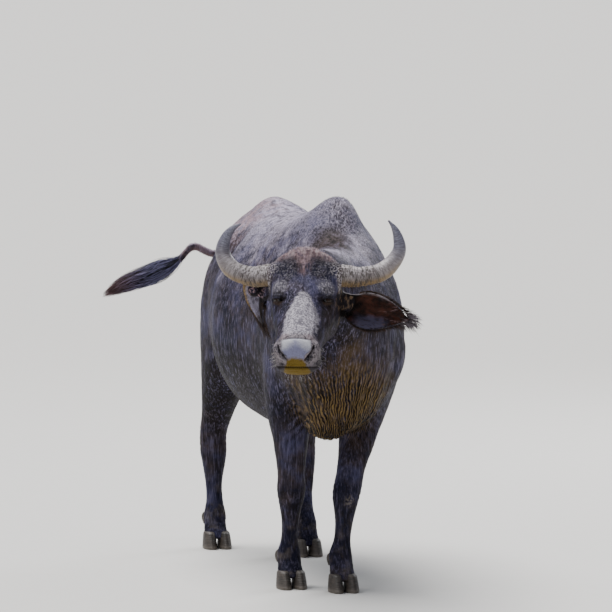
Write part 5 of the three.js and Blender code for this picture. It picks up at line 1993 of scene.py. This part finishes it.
class BUFFALO_OT_stage(bpy.types.Operator):
    """Set up the floor, the soft studio light and the camera"""

    bl_idname = "buffalo.stage"
    bl_label = "Stage"

    def execute(self, context):
        c = colours()
        floor = bpy.data.objects.new("floor", bpy.data.meshes.new("floor"))
        half = sizes().floor_size / 2
        corners = [(-half, -half, 0), (half, -half, 0), (half, half, 0), (-half, half, 0)]
        floor.data.from_pydata(corners, [], [(0, 1, 2, 3)])
        s = Shader("floor")
        grain = s.noise(s.place, 60, 4)
        s.colour = s.mix(grain, c.floor_shade, c.floor)
        floor.data.materials.append(s.finish(0.8, grain, 0.0003))
        bpy.context.scene.collection.objects.link(floor)
        light("sky", "SUN", (-0.9, 1.6, 6.0), 6.6, (1, 0.985, 0.97), angle=math.radians(46))
        light("fill", "AREA", (-5.5, -6.5, 3.2), 120, (0.92, 0.95, 1), shape="DISK", size=4)
        light("rim", "AREA", (4.5, 4.5, 4.2), 200, (0.95, 0.97, 1), shape="DISK", size=3)
        world = bpy.data.worlds.new("studio")
        world.use_nodes = True
        background = world.node_tree.nodes["Background"]
        background.inputs["Color"].default_value = rgba(c.air)
        background.inputs["Strength"].default_value = 0.26
        bpy.context.scene.world = world
        camera()
        return {"FINISHED"}


# Settings and panel


def colour(name, description, default):
    return bpy.props.FloatVectorProperty(
        name=name, description=description, default=default, min=0, max=1, size=3, subtype="COLOR"
    )


class BuffaloColours(bpy.types.PropertyGroup):
    """Colours of the cow and of the stage"""

    hide_dark: colour("Dark Hide", "Hide on the shaded flanks", (0.010, 0.0105, 0.023))
    hide_brown: colour("Brown Hide", "Browner patches of the hide", (0.056, 0.04, 0.039))
    # Bluish hide, partly painted sky sheen.
    blue_hide_and_sheen: colour("Blue Hide", "Bluish bare patches of the hide", (0.052, 0.053, 0.11))
    # Reddish hide and hair, also used for painted highlights on rump and ear.
    red_hide_and_glint: colour("Reddish Hide", "Hide of the rump and the poll", (0.32, 0.21, 0.22))
    # Dust along the back, with painted sky sheen on the surfaces that face up.
    back_dust_and_sheen: colour("Pale Back", "Bleached, dusty hair along the back", (0.44, 0.4, 0.5))
    streak: colour("Hair Streaks", "Light that the flat hair catches", (0.19, 0.17, 0.255))
    # Black of hide and hair, also painted as shade in folds, eye sockets and on the underside.
    black_hide_and_shade: colour("Deep Folds", "Bottom of the folds", (0.008, 0.006, 0.006))
    dust: colour("Dust", "Ochre dust on brisket and throat", (0.14, 0.088, 0.03))
    dust_pale: colour("Ridge Dust", "Paler dust on the ridges of the folds", (0.24, 0.155, 0.055))
    mud: colour("Mud", "Dried mud on the legs", (0.2, 0.17, 0.14))
    bald_grey: colour("Bald Grey", "Bald skin of the nose bridge", (0.47, 0.44, 0.49))
    bald_dark: colour("Bald Dark", "Darker stipple of the nose bridge", (0.13, 0.12, 0.145))
    brow_pale: colour("Pale Brow", "Pale skin of the forehead", (0.34, 0.31, 0.34))
    poll_pale: colour("Poll", "Pinkish bleached hair on top of the poll", (0.5, 0.4, 0.41))
    stalk_hair: colour("Ear Root", "Brown hairs at the root of the left ear", (0.12, 0.08, 0.05))
    lid: colour("Lids", "Brownish skin of the lids", (0.05, 0.032, 0.022))
    pad_grey: colour("Pad", "Wet grey of the nose pad", (0.19, 0.19, 0.29))
    pad_white: colour("Pad Top", "Light that the wet top of the pad catches", (0.5, 0.5, 0.53))
    pad_dark: colour("Pad Creases", "Creases of the nose pad", (0.05, 0.055, 0.07))
    pad_ochre: colour("Ochre Pad", "Ochre of the lower pad and the lip", (0.13, 0.088, 0.016))
    pad_crease: colour("Ochre Creases", "Creases of the lower pad", (0.08, 0.045, 0.006))
    muzzle_dark: colour("Dark Muzzle", "Dark skin of the muzzle's sides", (0.03, 0.027, 0.03))
    muzzle_pale: colour("Pale Muzzle", "Paler skin of the muzzle's sides", (0.24, 0.21, 0.225))
    # Dark of the pupils, and painted shade in nostrils, ear canals, chest folds and gaps.
    hollow: colour("Hollows", "Nostrils, pupils and ear canals", (0.003, 0.002, 0.002))
    ear_inside: colour("Inner Ear", "Reddish skin inside the left ear", (0.06, 0.022, 0.015))
    ear_lobe: colour("Ear Lobe", "Greyish lower lobe inside the left ear", (0.075, 0.07, 0.115))
    ear_pale: colour("Outer Ear", "Bluish back of the right ear", (0.24, 0.22, 0.3))
    # The upper side stays paler because the lower side gets painted shade.
    horn_grey: colour("Grey Horn", "Weathered upper side of the horns", (0.5, 0.46, 0.48))
    horn_brown: colour("Brown Horn", "Darker patches of the horns", (0.12, 0.095, 0.09))
    # Painted ochre bounce light on the horns' underside.
    horn_under_bounce: colour("Under Horn", "Underside of the horns", (0.16, 0.095, 0.025))
    horn_tip: colour("Horn Tip", "Smooth bluish tips", (0.2, 0.2, 0.27))
    horn_tip_dark: colour("Dark Horn Tip", "Darker streaks of the tips", (0.05, 0.052, 0.085))
    horn_crack: colour("Horn Cracks", "Cracks between the flakes", (0.03, 0.022, 0.017))
    claw_dark: colour("Dark Claw", "Dark horn of the claws", (0.02, 0.017, 0.015))
    claw_pale: colour("Pale Claw", "Paler streaks of the claws", (0.07, 0.055, 0.045))
    eye_white: colour("Eye White", "Brownish white of the eyes", (0.02, 0.014, 0.012))
    iris: colour("Iris", "Dark brown of the iris", (0.03, 0.014, 0.008))
    iris_dark: colour("Iris Fibres", "Darker fibres of the iris", (0.01, 0.005, 0.003))
    hair_dark: colour("Dark Hair", "Black hair", (0.009, 0.007, 0.008))
    hair_brown: colour("Brown Hair", "Brown hair of ears and chin", (0.06, 0.035, 0.025))
    # Pale hair, and painted highlight on the upper coat.
    pale_hair_and_highlight: colour("Pale Hair", "Bleached ends of the coat", (0.15, 0.13, 0.15))
    tail_dark: colour("Dark Tail Hair", "Shaded locks of the tail", (0.012, 0.012, 0.016))
    tail_blue: colour("Blue Tail Hair", "Locks of the tail in the light", (0.26, 0.25, 0.44))
    tail_red: colour("Red Tail Hair", "Reddish ends of the tail's locks", (0.22, 0.1, 0.07))
    bristle: colour("Bristles", "Pale bristles of the muzzle", (0.55, 0.52, 0.5))
    floor: colour("Floor", "Pale studio floor", (0.62, 0.61, 0.59))
    floor_shade: colour("Floor Grain", "Slightly darker grain of the floor", (0.59, 0.58, 0.56))
    air: colour("Studio Air", "Light that comes from all round", (0.8, 0.87, 1.0))


def size(name, description, default, unit="LENGTH"):
    return bpy.props.FloatProperty(name=name, description=description, default=default, unit=unit)


class BuffaloSizes(bpy.types.PropertyGroup):
    """Sizes of the skin, the coat and the floor"""

    skin_grain: size("Skin Grain", "Spacing of the skin's points before head and chest are refined", 0.0062)
    coat_depth: size("Coat Depth", "How far the skin lies inside the solids", 0.002)
    skin_triangles: bpy.props.IntProperty(
        name="Skin Triangles", description="The most triangles that the finished skin has", default=190000
    )
    coat_length: size("Coat Length", "Length of the coat's tufts against their usual length", 1.0, "NONE")
    floor_size: size("Floor Size", "Length of the floor's edges", 600.0)


OPERATORS = (
    BUFFALO_OT_skin,
    BUFFALO_OT_horns,
    BUFFALO_OT_claws,
    BUFFALO_OT_eyes,
    BUFFALO_OT_coat,
    BUFFALO_OT_ear_hair,
    BUFFALO_OT_tail_hair,
    BUFFALO_OT_bristles,
    BUFFALO_OT_stage,
)


class BUFFALO_PT_panel(bpy.types.Panel):
    """Lists the pieces of the cow, with their sizes and colours"""

    bl_label = "African Buffalo Cow"
    bl_idname = "BUFFALO_PT_panel"
    bl_space_type = "VIEW_3D"
    bl_region_type = "UI"
    bl_category = "Buffalo"

    def draw(self, context):
        for operator in OPERATORS:
            self.layout.operator(operator.bl_idname)
        for group in (sizes(), colours()):
            box = self.layout.box()
            for name in group.__annotations__:
                box.prop(group, name)


CLASSES = (BuffaloColours, BuffaloSizes, *OPERATORS, BUFFALO_PT_panel)


def register():
    for made in CLASSES:
        bpy.utils.register_class(made)
    bpy.types.Scene.buffalo_colours = bpy.props.PointerProperty(type=BuffaloColours)
    bpy.types.Scene.buffalo_sizes = bpy.props.PointerProperty(type=BuffaloSizes)


def unregister():
    del bpy.types.Scene.buffalo_sizes
    del bpy.types.Scene.buffalo_colours
    for made in reversed(CLASSES):
        bpy.utils.unregister_class(made)


def main():
    register()
    for operator in OPERATORS:
        name = operator.bl_idname.split(".")[1]
        getattr(bpy.ops.buffalo, name)()


if __name__ == "__main__":
    main()
